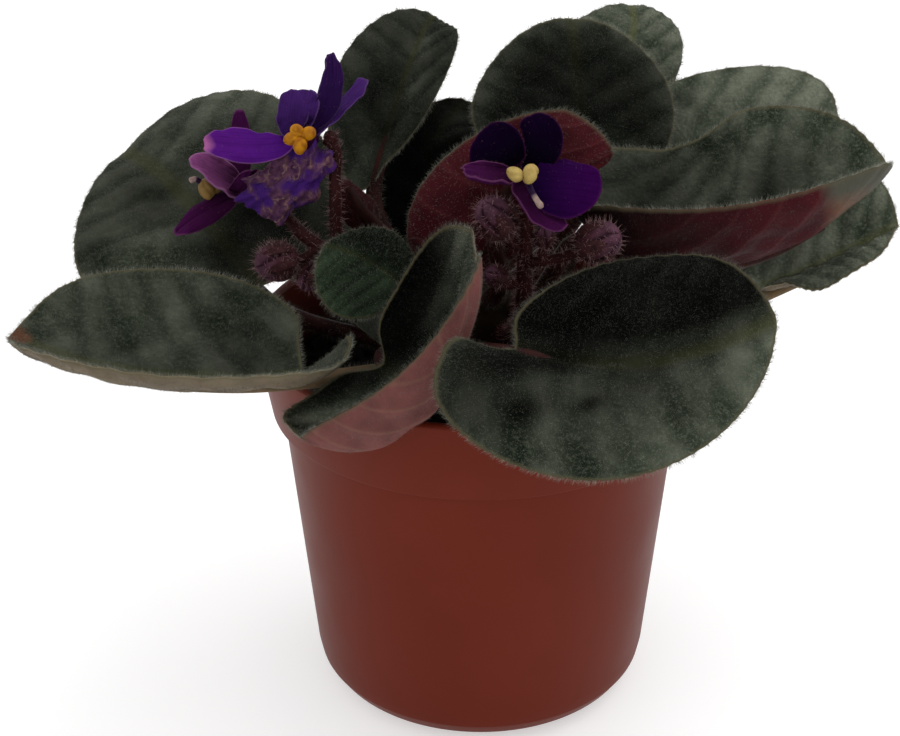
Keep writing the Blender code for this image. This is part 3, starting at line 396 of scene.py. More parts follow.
# Blooms: each petal is (base, mid, tip, left, right), then its look, which is its colours in front
# and at the back and its ruffles, crumples and curl in millimetres, then what differs from a plain
# petal. An anther is (centre, radius, way).
BLOOMS = {
    "left": dict(
        throat=((-26.6, -4.2, 92.4), (-23.9, -2.9, 92.9)),
        petals=(
            petal((-27.0, -4, 92.7), (-33.1, -6, 92.4), (-39.6, -7, 93.6), (-33.9, -8, 90.8),
                  (-35.2, -4, 94.5), ("violet", "violet", 0.18, 0.0, 1.2)),
            petal((-27.2, -4, 92.6), (-27.1, -2, 96.1), (-26.7, 0, 99.1), (-29.7, -2, 96.7),
                  (-23.5, -2, 97.5), ("dusky", "dusky", 0.3, 0.05, 0.4)),
            petal((-26.0, -4, 94.1), (-22.3, 0, 97.9), (-22.0, 3, 103.6), (-23.7, -1, 98.7),
                  (-20.3, 1, 98.3), ("dim", "dim", 0.2, 0.05, 0.3)),
            petal((-25.9, -3.5, 92.4), (-21.1, 2, 95.6), (-16.7, 6, 98.5), (-22.1, 5, 95.0),
                  (-20.3, 0, 95.2), ("dusky", "dusky", 0.2, 0.05, 0.2)),
            petal((-26.5, -4.5, 92.5), (-28, -6.5, 87), (-32, -5.5, 81.5), (-22.5, -4.5, 86.5),
                  (-34.5, -4.5, 87), ("withered", "withered", 0.5, 0.35, 0.0),
                  wave=(0.9, 7, 0.5), width=0.75),
        ),
        anthers=(
            ((-27.2, -6.6, 94.0), 1.0, (1, 0, 0.3)), ((-26.3, -6.4, 95.0), 0.95, (-0.6, 0, 0.6)),
            ((-24.9, -6.3, 94.6), 1.0, (0.8, 0, 0.5)), ((-26.0, -7.2, 93.1), 1.05, (0.1, 0, 1)),
        ),
        anther_look="anther_orange",
        style=None,
    ),
    "side": dict(
        throat=((-37.4, 2.6, 82.4), (-34.6, 1.8, 82.0)),
        petals=(
            petal((-37.0, 3, 83.0), (-36.5, 6, 87.0), (-36.5, 9, 93.0), (-38.2, 6, 87.2),
                  (-35.1, 7, 86.5), ("magenta", "magenta", 0.1, 0.0, 0.2), width=0.55),
            petal((-36.2, 2.5, 82.8), (-40.3, 0, 86.6), (-42.9, -2, 89.2), (-39.0, 3, 87.5),
                  (-37.8, -2, 83.8), ("pink", "pink", 0.2, 0.0, 0.3)),
            petal((-36.3, 2, 81.7), (-41.1, 0, 79.9), (-46.0, -2, 77.1), (-41.7, 1.5, 80.6),
                  (-40.4, -1.5, 78.6), ("magenta", "magenta", 0.1, 0.0, 0.3), bulge=(-0.4, -0.4)),
            petal((-37, 1.5, 82.2), (-35, -1.5, 84.5), (-33, -2.5, 87.5), (-36.5, -2, 86),
                  (-33, -1, 83.5), ("deep", "magenta", 0.15, 0.0, 0.0)),
            petal((-36.5, 3, 82.3), (-37, 7, 81.5), (-38, 11, 81.5), (-39.5, 7, 82.5),
                  (-34, 7, 81), ("deep", "magenta", 0.15, 0.0, 0.0)),
        ),
        anthers=(((-41.1, 0.3, 83.5), 1.3, (-0.1, 0, 1)), ((-39.9, 1.4, 83.8), 1.15, (0.3, 0, 1))),
        anther_look="anther_dull",
        style=((-41.6, 0.3, 84.2), (-42.8, 0.2, 85.2), (-43.6, 0.0, 84.9)),
    ),
    "right": dict(
        throat=((5.6, -16.2, 92.0), (6.4, -13.6, 91.2)),
        petals=(
            petal((4.3, -16, 93.3), (3.3, -14.5, 95.6), (1.2, -12.5, 97.9), (-1.3, -15, 93.2),
                  (5.6, -14.5, 97.4), ("night", "magenta", 0.15, 0.0, 0.4), bulge=(0, 0)),
            petal((6.0, -16, 92.4), (8.1, -13.5, 96.3), (6.9, -12, 99.1), (5.9, -13.5, 97.7),
                  (11.6, -13.5, 95.9), ("night", "magenta", 0.15, 0.0, 0.4), bulge=(0, 0)),
            petal((6.3, -16, 91.7), (11.6, -17, 92.1), (17.0, -17, 91.2), (10.9, -14, 93.7),
                  (11.5, -20, 87.1), ("deep", "magenta", 0.15, 0.0, 0.3)),
            petal((6.2, -16.0, 92.0), (7.8, -18.5, 88.3), (11.6, -20.5, 85.5), (10.1, -17.5, 88.4),
                  (5.6, -19, 88.7), ("magenta", "magenta", 0.15, 0.0, 0.4), bulge=(-0.1, -0.2)),
            petal((5.9, -16.4, 91.8), (1.3, -20, 93.8), (-2.4, -23, 95.4), (1.5, -22.5, 94.0),
                  (1.5, -18.5, 94.9), ("magenta", "magenta", 0.12, 0.0, 0.3), bulge=(-0.2, -0.2)),
        ),
        anthers=(((4.8, -19.6, 93.5), 1.0, (1, 0, -0.7)), ((6.9, -19.4, 93.4), 1.15, (0.3, 0, 1))),
        anther_look="anther_pale",
        style=((6.6, -18.4, 92.0), (7.5, -20.2, 90.5), (8.6, -21.0, 89.0)),
    ),
}

# Flower stalks: the main path from the crown, its branches to the blooms, a calyx (foot, tip) at
# the end of each, and the buds (foot, tip, radius)
STALKS = {
    "left": dict(
        root=(196, 63),
        main=((-10, -4.5, 67), (-18, -6, 73), (-23.5, -6, 76.5)),
        branches=(
            ((-21, -6, 75), (-21.4, -5, 79), (-21.4, -4, 86.5), (-21.6, -2.6, 91.5),
             (-22.7, -2.6, 92.6)),
            ((-23, -6, 76), (-26.5, -5, 78.5), (-30, -2, 81.0), (-33.4, 1.5, 81.9)),
        ),
        calyxes=(((-21.9, -2.2, 92.4), (-24.6, -3.2, 92.1)), ((-32.4, 1.3, 81.7), (-35.5, 2.1, 82.1))),
        buds=(((-24, -6.5, 76.5), (-33.2, -9, 74.8), 2.7), ((-23.5, -6, 76), (-26.5, -7.5, 70.5), 1.9)),
    ),
    "right": dict(
        root=(312, 62),
        main=((6, -9.5, 66), (6.5, -12.5, 73), (6.5, -13.5, 79)),
        branches=(((6.5, -13.2, 77), (6.8, -14.2, 84), (6.8, -13.4, 90.2)),),
        calyxes=(((6.8, -12.9, 90.5), (6.1, -15.4, 91.5)),),
        buds=(
            ((5.5, -13.8, 80), (0.6, -16.2, 88), 2.8), ((6.5, -13.8, 77.5), (19.8, -17, 83.3), 2.8),
            ((5.5, -13, 74), (0.8, -14.5, 76.5), 1.5), ((9.1, -14.5, 78.0), (9.3, -15.0, 83.7), 1.4),
        ),
    ),
}


def unit(v):
    """Vectors of length one, along the last axis."""
    v = np.asarray(v, float)
    return v / np.maximum(np.linalg.norm(v, axis=-1, keepdims=True), 1e-9)


def turned(vectors, start, ends):
    """The vectors, turned by the smallest turn that takes the start direction to each end."""
    axis = np.cross(start, ends)
    cosine = (ends * start).sum(-1, keepdims=True)
    along = (axis * vectors).sum(-1, keepdims=True)
    return vectors * cosine + np.cross(axis, vectors) + axis * along / (1 + cosine)


def sided(c, pair):
    """The left one of a pair where c is above nothing, and the right one elsewhere."""
    return np.where(c > 0, *pair)


def spine(form, a):
    """Points and directions of the midrib at a: 0 at the petiole, 1 at the tip."""
    base, mid, tip = (np.array(form[key], float) for key in ("base", "mid", "tip"))
    m, t = form["widest"], np.maximum(a, 0)[:, None]
    point = (base * (t - m) * (t - 1) / m + mid * t * (t - 1) / (m * (m - 1))
             + tip * t * (t - m) / (1 - m))
    slope = (base * (2 * t - m - 1) / m + mid * (2 * t - 1) / (m * (m - 1))
             + tip * (2 * t - m) / (1 - m))
    return point + slope * np.minimum(a, 0)[:, None], unit(slope)


def surface(form, a, c):
    """Points of a blade's upper face: a runs along the midrib, c from the right to the left."""
    point, along = spine(form, a)
    middle, heading = spine(form, np.array([form["widest"]]))
    left, right = (np.array(form[key], float) - middle[0] for key in ("left", "right"))
    a, c = a[:, None], c[:, None]
    side = sided(c, (left, right))
    lift = sided(c, (unit(np.cross(heading[0], left)), unit(np.cross(right, heading[0]))))
    reach = np.abs(c)
    size = np.linalg.norm(side, axis=1, keepdims=True)
    behind = np.maximum(EAR_START - a, 0) / EAR_LENGTH
    raised = sided(c, form["ears"]) * np.tanh(reach / EAR_INNER) * (EAR_OUTER - reach) * behind**2
    bulging = size * sided(c, form["bulge"]) * 4 * reach * (1 - reach)
    offset = side * reach + lift * (bulging + raised)
    return point + (offset if form["folded_across"] else turned(offset, heading[0], along))


def outline(form, angle):
    """Where the margin lies at an angle round the blade: 0 at the tip, pi at the petiole."""
    forward, across = np.cos(angle), np.sin(angle)
    m = form["widest"]
    a = m + np.where(forward > 0, 1 - m, m + sided(across, form["lobes"])) * forward
    c = np.sign(across) * np.abs(across) ** sided(across, form["width"])
    if form["folded_across"]:
        notch = np.exp(-((forward / FOLD_SINUS) ** 2)) * (across < 0)
        return a, c * (1 + FOLD_LOBE * (across < 0)) * (1 - FOLD_DEPTH * notch)
    notch = np.exp(-((across / form["sinus"]) ** 2)) * (forward < 0)
    return a * (1 - notch), c


def surface_normals(form, a, c):
    """Directions square to a blade's upper face."""
    step = 0.01
    along = surface(form, a + step, c) - surface(form, a - step, c)
    across = surface(form, a, c + step) - surface(form, a, c - step)
    return unit(np.cross(along, across))


def bend(start, start_way, end, end_way, steps):
    """Points of a smooth curve between two ends that leaves and arrives the given ways."""
    t = np.linspace(0, 1, steps)[:, None]
    return (start * (1 - t) ** 3 + 3 * (start + start_way) * t * (1 - t) ** 2
            + 3 * (end - end_way) * t**2 * (1 - t) + end * t**3)


def smooth(points, steps):
    """That many points evenly along a smooth curve through the given ones."""
    points = np.array(points, float)
    t = np.append(0, np.cumsum(np.linalg.norm(np.diff(points, axis=0), axis=1)))
    slopes = np.gradient(points, t, axis=0)
    places = np.linspace(0, t[-1], steps)
    i = np.minimum(np.searchsorted(t, places, side="right") - 1, len(points) - 2)
    span = (t[i + 1] - t[i])[:, None]
    u = (places - t[i])[:, None] / span
    return (points[i] * (1 + 2 * u) * (1 - u) ** 2 + slopes[i] * span * u * (1 - u) ** 2
            + points[i + 1] * u * u * (3 - 2 * u) - slopes[i + 1] * span * u * u * (1 - u))


def crown_radius(height):
    """The stem is thin in the soil, thick among the petioles and round at the top."""
    if height < SOIL_TOP + 1.5:
        return CROWN_FOOT_RADIUS
    drop = max(height - CROWN_TOP + CROWN_RADIUS, 0) / CROWN_RADIUS
    return CROWN_RADIUS * math.sqrt(max(1 - drop * drop, 0.02))


def rooted(spec, reach):
    """Where a petiole or stalk leaves the crown, and how it goes outward over a short reach."""
    turn, height = spec["root"]
    way = np.array((math.cos(math.radians(turn)), math.sin(math.radians(turn)), 0))
    start = np.array((*CROWN_CENTRE, height)) + way * (crown_radius(height) - ROOT_DEPTH)
    return start, way * reach


def petiole_path(form):
    """From beside the crown to the blade's base, then under the midrib."""
    root, out = rooted(form, 1.5)
    radii = np.linspace(PETIOLE_RADIUS * 0.8, MIDRIB_END_RADIUS, MIDRIB_POINTS)
    a, c = np.linspace(0.0, MIDRIB_REACH, MIDRIB_POINTS), np.full(MIDRIB_POINTS, 1e-4)
    if form["folded_across"]:
        a, c = np.full(MIDRIB_POINTS, form["widest"]), np.linspace(-FOLD_START, 0.1, MIDRIB_POINTS)
    points = surface(form, a, c)
    drop = LEAF_THICKNESS * 0.55 + radii[:, None] * 0.45 + PETIOLE_DROP
    under = points - surface_normals(form, a, c) * drop
    span = np.linalg.norm(under[0] - root)
    start_way = unit(out + np.array((0, 0, 0.35))) * span * 0.4
    end_way = unit(points[1] - points[0]) * span * 0.25
    stem = bend(root, start_way, under[0], end_way, PETIOLE_POINTS)
    narrowing = np.linspace(PETIOLE_RADIUS, PETIOLE_RADIUS * 0.85, PETIOLE_POINTS - 1)
    return np.concatenate([stem[:-1], under]), np.concatenate([narrowing, radii])


def turns_of(count):
    """That many even turns round a circle."""
    return 2 * math.pi * np.arange(count) / count


def band(first, second, count):
    """Four-cornered faces between two closed rings of points."""
    j = np.arange(count)
    k = (j + 1) % count
    return np.stack([first + j, first + k, second + k, second + j], 1)


def fan(ring, centre, count):
    """Triangles between a closed ring and one point."""
    j = np.arange(count)
    return np.stack([ring + j, ring + (j + 1) % count, np.full(count, centre)], 1)


def closed(rings, first, last):
    """Points and faces of a form from its rings and the middles of its two ends.

    The faces come as those between the rings, and those of the ends.
    """
    sides, count = len(rings[0]), len(rings) * len(rings[0])
    walls = [band(i * sides, (i + 1) * sides, sides) for i in range(len(rings) - 1)]
    ends = [fan(0, count, sides)[:, ::-1], fan(count - sides, count + 1, sides)]
    return np.concatenate([*rings, [first, last]]), (np.concatenate(walls), np.concatenate(ends))


def level_ring(radius, height, sides, centre=(0, 0)):
    """Points of a level circle."""
    turns = turns_of(sides)
    x, y = centre[0] + radius * np.cos(turns), centre[1] + radius * np.sin(turns)
    return np.stack([x, y, np.full(sides, height)], 1)


def tube(path, radii, sides=TUBE_SIDES):
    """Points and faces of a closed round tube along a path."""
    path = np.array(path, float)
    along = unit(np.gradient(path, axis=0))
    side = unit(np.cross(along[0], (0.3, 0.2, 1.0)))
    turns = turns_of(sides)
    rings = []
    for centre, ahead, radius in zip(path, along, radii):
        side = unit(side - ahead * (side @ ahead))
        ring = np.cos(turns)[:, None] * side + np.sin(turns)[:, None] * np.cross(ahead, side)
        rings.append(centre + ring * np.asarray(radius).reshape(-1, 1))
    return closed(rings, path[0], path[-1])


def limb(path, radii, steps):
    """A smooth tube along a path, with a radius at each end."""
    return tube(smooth(path, steps), np.linspace(*radii, steps))


def egg(centre, way, radius, half_length, lobes=0, furrow=0.0):
    """A closed egg about a centre, long along a way, with furrows from end to end.

    Its marks say how far along a point lies, and how deep in a furrow.
    """
    steps = -np.cos(np.linspace(0.05, math.pi - 0.05, BUD_STEPS))
    path = np.array(centre, float) + unit(way) * steps[:, None] * half_length
    radii, marks = [], []
    for step in steps:
        cut = np.exp(-((np.sin(lobes * turns_of(BUD_SIDES) / 2 + step) / 0.3) ** 2))
        radii.append(radius * math.sqrt(1 - step * step) * (1 + 0.12 * step) * (1 - furrow * cut))
        marks += [((1 + step) / 2, deep, 0) for deep in cut]
    return *tube(path, radii, BUD_SIDES), np.array([*marks, (0, 0, 0), (1, 0, 0)])


def rows_of(first, step):
    """The given outer rows, then even ones to near the middle."""
    return [*first, *np.arange(first[-1] - step, step * 0.5, -step)]


def blade(form, turns, rows, thickness, margin_thickness, relief, teeth=0, tooth=0.0):
    """A closed thin blade: its points, the faces of its two sides, and marks for the shaders.

    A mark is how far along the midrib, how far aside of it, and how far out a point lies.
    """
    count, m = len(rows), form["widest"]
    angle = np.append(np.tile(turns_of(turns), count), 0.0)
    radius = np.append(np.repeat(np.array(rows), turns), 0.0)
    scallops = 2 * np.abs(np.sin(teeth * angle / 2)) - 1
    edge_a, edge_c = outline(form, angle)
    grow = radius * (1 + tooth * scallops * np.clip((radius - 0.92) / 0.08, 0, 1) ** 2)
    a, c = m + (edge_a - m) * grow, edge_c * grow
    normal = surface_normals(form, a, c)
    height, number, phase = form["wave"]
    ripple = height * radius**3 * np.sin(number * angle + phase)
    middle = surface(form, a, c) + normal * ripple[:, None]
    along, aside = a, c
    if form["folded_across"]:
        along, aside = (FOLD_START + c) / FOLD_LENGTH, (a - m) / FOLD_HALF_WIDTH
    up, down = relief(along, aside, radius, angle)
    depth = thickness + (margin_thickness - thickness) * np.clip((radius - 0.8) / 0.2, 0, 1) ** 2
    top, under = middle + normal * up[:, None], middle + normal * (down - depth)[:, None]
    outward = unit(middle[:turns] - middle[turns : 2 * turns])
    rim = (top[:turns] + under[:turns]) / 2 + outward * margin_thickness * 0.4
    many = count * turns + 1
    upper = [band(i * turns, (i + 1) * turns, turns) for i in range(count - 1)]
    lower = [faces[:, ::-1] + many for faces in upper]
    upper.append(band(2 * many, 0, turns))
    lower.append(band(2 * many, many, turns)[:, ::-1])
    tip = fan((count - 1) * turns, many - 1, turns)
    marks = np.stack([along, aside, radius], 1)
    return dict(
        points=np.concatenate([top, under, rim]), marks=np.concatenate([marks, marks, marks[:turns]]),
        upper=(np.concatenate(upper), tip), lower=(np.concatenate(lower), tip[:, ::-1] + many),
        rim=rim, outward=outward, normal=normal[:turns],
    )


def fill(things, key, values, kind=np.float32):
    """Gives each of a mesh's points, corners, faces or marks its value."""
    things.foreach_set(key, np.asarray(values).astype(kind).ravel())


def new_piece(name, points, parts, materials, marks=None, tones=None):
    """A smooth object from points in millimetres. Parts pair faces with a material's number."""
    mesh = bpy.data.meshes.new(name)
    sizes = np.concatenate([np.full(len(faces), faces.shape[1]) for faces, _ in parts])
    corners = np.concatenate([faces.ravel() for faces, _ in parts])
    mesh.vertices.add(len(points))
    mesh.loops.add(len(corners))
    mesh.polygons.add(len(sizes))
    fill(mesh.vertices, "co", np.asarray(points) * MM)
    fill(mesh.loops, "vertex_index", corners, np.int32)
    fill(mesh.polygons, "loop_start", np.cumsum(sizes) - sizes, np.int32)
    numbers = [np.full(len(faces), number) for faces, number in parts]
    fill(mesh.polygons, "material_index", np.concatenate(numbers), np.int32)
    fill(mesh.polygons, "use_smooth", np.ones(len(sizes)), bool)
    mesh.update(calc_edges=True)
    if marks is not None:
        fill(mesh.attributes.new("mark", "FLOAT_VECTOR", "POINT").data, "vector", marks)
    if tones is not None:
        fill(mesh.attributes.new("tone", "FLOAT", "POINT").data, "value", tones)
    mesh.validate()
    for made in materials:
        mesh.materials.append(made)
    piece = bpy.data.objects.new(name, mesh)
    bpy.context.scene.collection.objects.link(piece)
    return piece


def placed(piece, slot, *nodes):
    """The piece rides on the one body and stands for those solids; slot is not used."""
    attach(piece, "root")
    if nodes:
        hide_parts(*nodes)


def numbered(faces, number=0):
    """Each array of faces, paired with the number of its material."""
    return [(part, number) for part in faces]


class Gathered:
    """Points, faces, marks and tones, the painted light and shade, of several forms that become one
    piece.
    """

    def __init__(self):
        self.points, self.parts, self.marks, self.tones = [], [], [], []
        self.count = 0

    def add(self, points, parts, marks=(0, 0, 0), tones=1.0):
        self.points.append(points)
        self.parts += [(faces + self.count, number) for faces, number in parts]
        self.marks.append(np.broadcast_to(marks, (len(points), 3)))
        self.tones.append(np.broadcast_to(tones, len(points)))
        self.count += len(points)

    def piece(self, name, materials):
        points, marks = np.concatenate(self.points), np.concatenate(self.marks)
        return new_piece(name, points, self.parts, materials, marks, np.concatenate(self.tones))


def scatter(points, faces, density, rng):
    """Random places on faces, that many on a square millimetre, the ways square to them, and the
    number of a point of each face."""
    corners = points[faces]
    if faces.shape[1] == 4:
        corners = np.concatenate([corners[:, [0, 1, 2]], corners[:, [0, 2, 3]]])
    square = np.cross(corners[:, 1] - corners[:, 0], corners[:, 2] - corners[:, 0])
    area = np.linalg.norm(square, axis=1) / 2
    number = int(area.sum() * density)
    chosen = rng.choice(len(area), number, p=area / area.sum())
    u, v = rng.random(number), rng.random(number)
    fold = u + v > 1
    u[fold], v[fold] = 1 - u[fold], 1 - v[fold]
    corner = corners[chosen]
    first, second = corner[:, 1] - corner[:, 0], corner[:, 2] - corner[:, 0]
    places = corner[:, 0] + first * u[:, None] + second * v[:, None]
    return places, unit(square[chosen]), faces[chosen % len(faces), 0]


def add_hairs(down, roots, ways, tones, kind, spread, rng):
    """Thin pointed hairs of a kind, each a flat triangle turned aside by chance.

    Each is as light or dark as its tone says, which on leaves is their painted light and shade.
    """
    _, length, width = kind
    ways = unit(ways + rng.normal(size=ways.shape) * spread)
    tips = roots + ways * (length * rng.uniform(0.5, 1.25, len(roots)))[:, None]
    side = unit(np.cross(ways, rng.normal(size=ways.shape))) * width / 2
    points = np.stack([roots - side, roots + side, tips], 1).reshape(-1, 3)
    down.add(points, [(np.arange(len(points)).reshape(-1, 3), 0)], tones=np.repeat(tones, 3))


def add_coat(down, points, faces, tone, kind, rng):
    """Hairs of a kind all over faces, all of one tone."""
    roots, ways, _ = scatter(points, faces, kind[0], rng)
    add_hairs(down, roots, ways, np.full(len(roots), tone), kind, 0.3, rng)


def blade_hairs(down, made, tones, hair, pile, rng, kinds=(TOP_HAIRS, UNDER_HAIRS, MARGIN_HAIRS)):
    """Hairs on both sides of a blade and round its margin."""
    for side, kind in zip(("upper", "lower"), kinds):
        roots, ways, near = scatter(made["points"], made[side][0], kind[0], rng)
        # Hairs take the blade's painted light and shade; pile keeps them partly light where it is dark.
        shade = (tones[near] ** 0.6 * (1 - pile) + pile) * hair
        add_hairs(down, roots, ways, shade, kind, 0.45, rng)
    rim = made["rim"]
    steps = np.roll(rim, -1, axis=0) - rim
    spans = np.linalg.norm(steps, axis=1)
    number = int(spans.sum() * kinds[2][0])
    chosen = rng.choice(len(rim), number, p=spans / spans.sum())
    roots = rim[chosen] + steps[chosen] * rng.random((number, 1))
    lift = rng.uniform(-0.5, 0.8, (number, 1))
    ways = unit(made["outward"][chosen] + made["normal"][chosen] * lift)
    # Margin hairs are painted lighter where the blade is painted light.
    add_hairs(down, roots, ways, 0.6 + 0.4 * np.clip(tones[chosen], 0, 2), kinds[2], 0.25, rng)


def leaf_painted_shading(leaf, made):
    """Painted light and shade of each point of a leaf: its top by tones and blots, and its underside.
    """
    along, aside, out = made["marks"].T
    reach = np.clip(along, 0, 1)
    tones, under = leaf["tones"], leaf["under_painted_shading"]
    left = tones[0] + (tones[1] - tones[0]) * reach
    right = tones[2] + (tones[3] - tones[2]) * reach
    light = right + (left - right) * np.clip(0.5 + aside * 2.5, 0, 1)
    for x, y, size, times in leaf["painted_patches"]:
        far = (along - x) ** 2 + (0 if y is None else ((aside - y) * 0.5) ** 2)
        light = light * (1 + (times - 1) * np.exp(-far / size**2))
    # The margin is painted lighter: a painted sheen.
    light = light * (1 + leaf["rim"] * out**6)
    many = (len(along) - len(made["rim"])) // 2
    light[many : 2 * many] = under[0] + (under[1] - under[0]) * reach[many : 2 * many]
    return light


class Value:
    """What a node of a look gives, which can be reckoned with like a number."""

    def __init__(self, look, socket):
        self.look, self.socket = look, socket

    def maths(self, operation, other=0.0):
        return self.look.node("ShaderNodeMath", {0: self, 1: other}, operation=operation)

    def __add__(self, other):
        return self.maths("ADD", other)

    def __sub__(self, other):
        return self.maths("SUBTRACT", other)

    def __mul__(self, other):
        return self.maths("MULTIPLY", other)

    def __pow__(self, other):
        return self.maths("POWER", other)

    def waves(self):
        """Nothing where the value is a whole number, and a half midway between two."""
        return self.maths("PINGPONG", 0.5)

    def ramp(self, start, end, low=0.0, high=1.0):
        """A value that goes from low to high while this one goes from start to end."""
        ends = {"From Min": start, "From Max": end, "To Min": low, "To Max": high}
        return self.look.node("ShaderNodeMapRange", {"Value": self, **ends})

    def mix(self, first, second):
        """The first colour where this value is nothing, and the second where it is one."""
        inputs = {0: self, 6: first, 7: second}
        return self.look.node("ShaderNodeMix", inputs, 2, data_type="RGBA")


class Look:
    """A material, whose nodes are made one by one and then joined to its shader."""

    def __init__(self, name):
        self.material = bpy.data.materials.new(name)
        self.material.use_nodes = True
        self.tree = self.material.node_tree

    def give(self, socket, value):
        """Joins a value to a socket, or sets it to a number or a colour."""
        if isinstance(value, Value):
            self.tree.links.new(value.socket, socket)
        else:
            socket.default_value = (*value, 1) if np.size(value) == 3 else value

    def node(self, kind, inputs, output=0, **settings):
        """What a new node with those inputs and settings gives."""
        made = self.tree.nodes.new(kind)
        for key, value in settings.items():
            setattr(made, key, value)
        for key, value in inputs.items():
            self.give(made.inputs[key], value)
        return Value(self, made.outputs[output])

    def place(self):
        return self.node("ShaderNodeTexCoord", {}, "Object")

    def noise(self, scale, detail=3.0, roughness=0.55):
        """A value that varies with place, in waves of about one in scale metres."""
        inputs = {"Vector": self.place(), "Scale": scale, "Detail": detail, "Roughness": roughness}
        return self.node("ShaderNodeTexNoise", inputs)

    def marks(self):
        """How far along, how far from the midrib, how far out and how far aside a point lies."""
        mark = self.node("ShaderNodeAttribute", {}, "Vector", attribute_name="mark")
        parts = self.node("ShaderNodeSeparateXYZ", {0: mark}).socket.node.outputs
        along, aside, out = (Value(self, part) for part in parts)
        return along, aside.maths("ABSOLUTE"), out, aside

    def shaded(self, colour):
        """A colour made lighter or darker by the tone that the mesh holds, its painted light and shade.
        """
        tone = self.node("ShaderNodeAttribute", {}, "Fac", attribute_name="tone")
        return self.node("ShaderNodeVectorMath", {0: colour, "Scale": tone}, operation="SCALE")

    def finish(self, colour, rough, bump=None, height=0.2, strength=0.6, shine=0.05, **values):
        """The material with this colour and other values, and a bump of a height in millimetres."""
        values = {"Base_Color": colour, "Roughness": rough, "Specular_IOR_Level": shine, **values}
        if bump is not None:
            inputs = {"Height": bump, "Distance": height * MM, "Strength": strength}
            values["Normal"] = self.node("ShaderNodeBump", inputs)
        for key, value in values.items():
            shader = self.tree.nodes["Principled BSDF"]
            self.give(shader.inputs[key.replace("_", " ")], value)
        return self.material


def vein_rows(along, aside):
    """A whole number on each side vein, for points of a mesh and for values of a look."""
    return (along - aside**1.25 * VEIN_SLANT) * VEINS


def vein_lines(along, aside, width):
    """One on the midrib and the side veins, falling to nothing at that width beside them."""
    side = vein_rows(along, aside).waves().ramp(0.0, width * VEINS, 1.0, 0.0)
    return side.maths("MAXIMUM", aside.ramp(0.0, width * 1.6, 1.0, 0.0))


def spot_share(look, along, across, spot):
    """One inside a withered spot with a ragged edge."""
    x, y, size = spot
    far = ((along - x) ** 2.0 + ((across - y) * 0.45) ** 2.0).maths("SQRT")
    ragged = far + look.noise(700).ramp(0.0, 1.0, -0.03, 0.03)
    return ragged.ramp(size * 0.75, size * 1.1, 1.0, 0.0)


def leaf_top_material(name, leaf):
    """Felted dark green, lighter between its veins, with a paler hairy margin."""
    look = Look(name)
    along, aside, out, across = look.marks()
    dark, light = (np.multiply(part, leaf["tint"]) for part in (LEAF_DARK, LEAF_LIGHT))
    rows = vein_rows(along, aside) + look.noise(180).ramp(0.0, 1.0, -0.3, 0.3)
    between = rows.waves().ramp(0.03, 0.3).ramp(0.0, 1.0, 0.45, 1.0)
    colour = (look.noise(130, 4.0).ramp(0.3, 0.62) * between).mix(dark, light)
    grain = look.noise(1900, 4.0, 0.7)
    colour = grain.ramp(0.5, 0.75, 0.0, 0.55).mix(colour, light * 1.5)
    colour = aside.ramp(0.02, 0.09, 0.4, 0.0).mix(colour, LEAF_OLIVE)
    # The mesh's tone paints light and shade over the green.
    colour = out.ramp(0.98, 1.0, 0.0, 0.8).mix(look.shaded(colour), LEAF_MARGIN)
    if leaf["spot"]:
        colour = spot_share(look, along, across, leaf["spot"]).mix(colour, WITHERED)
    inputs = {"Vector": look.place(), "Scale": 1300.0}
    cells = look.node("ShaderNodeTexVoronoi", inputs, "Distance")
    return look.finish(colour, 0.75, grain * 1.3 - cells, 0.25, shine=0.02, Sheen_Roughness=0.4,
                       Sheen_Weight=leaf["sheen"], Sheen_Tint=(0.8, 0.85, 0.75))


def leaf_under_material(name, leaf):
    """The underside with raised veins."""
    look = Look(name)
    along, aside, out, _ = look.marks()
    plain, pale, _ = UNDERSIDES[leaf["under"]]
    veins = vein_lines(along, aside, 0.02)
    colour = look.noise(220, 4.0).ramp(0.35, 0.7).mix(plain, np.multiply(plain, 0.6))
    # The mesh's tone paints light and shade over the underside.
    colour = look.shaded((veins * 0.35).mix(colour, pale))
    if leaf["worn"]:
        worn = out.ramp(0.72, 0.9).mix(WORN_TAN, WORN_GREEN)
        colour = along.ramp(leaf["worn"], leaf["worn"] + 0.06).mix(colour, worn)
    colour = out.ramp(0.97, 1.0, 0.0, 0.5).mix(colour, LEAF_MARGIN)
    return look.finish(colour, 0.65, look.noise(1200) + veins * 0.5, 0.25, shine=0.06,
                       Sheen_Weight=0.03, Sheen_Roughness=0.4, Sheen_Tint=(0.9, 0.7, 0.7))


def stem_material(name, plain, pale, scale):
    """Fleshy stem tissue, streaked and slightly uneven."""
    look = Look(name)
    colour = look.noise(scale, 4.0).ramp(0.3, 0.75).mix(plain, pale)
    return look.finish(colour, 0.5, look.noise(scale * 4), 0.2, 0.5, shine=0.06)


def hair_material(name, colour):
    """Pale hairs, some duller than others."""
    look = Look(name)
    colour = look.noise(900, 2.0).ramp(0.3, 0.7).mix(colour, np.multiply(colour, 0.55))
    # The mesh's tone paints light and shade over the hairs.
    return look.finish(look.shaded(colour), 0.7, shine=0.08)


def petal_material(name, base, tip, margin, end=None):
    """Velvety petal, from its base colour to its tip colour, with a thin paler margin."""
    look = Look(name)
    along, _, out, across = look.marks()
    dark = np.multiply(base, 0.35)
    line = (across * 7.0).waves().ramp(0.0, 0.2, 0.2, 0.0)
    colour = line.mix(along.ramp(0.1, 0.95).mix(base, tip), dark)
    colour = look.noise(420, 4.0).ramp(0.4, 0.75, 0.0, 0.25).mix(colour, dark)
    colour = out.ramp(0.95, 1.0, 0.0, 0.6).mix(colour, margin)
    if end:
        colour = along.ramp(0.9, 0.98, 0.0, 0.9).mix(colour, end)
    return look.finish(colour, 0.6, look.noise(2600) + line * 1.5, 0.12, shine=0.01)


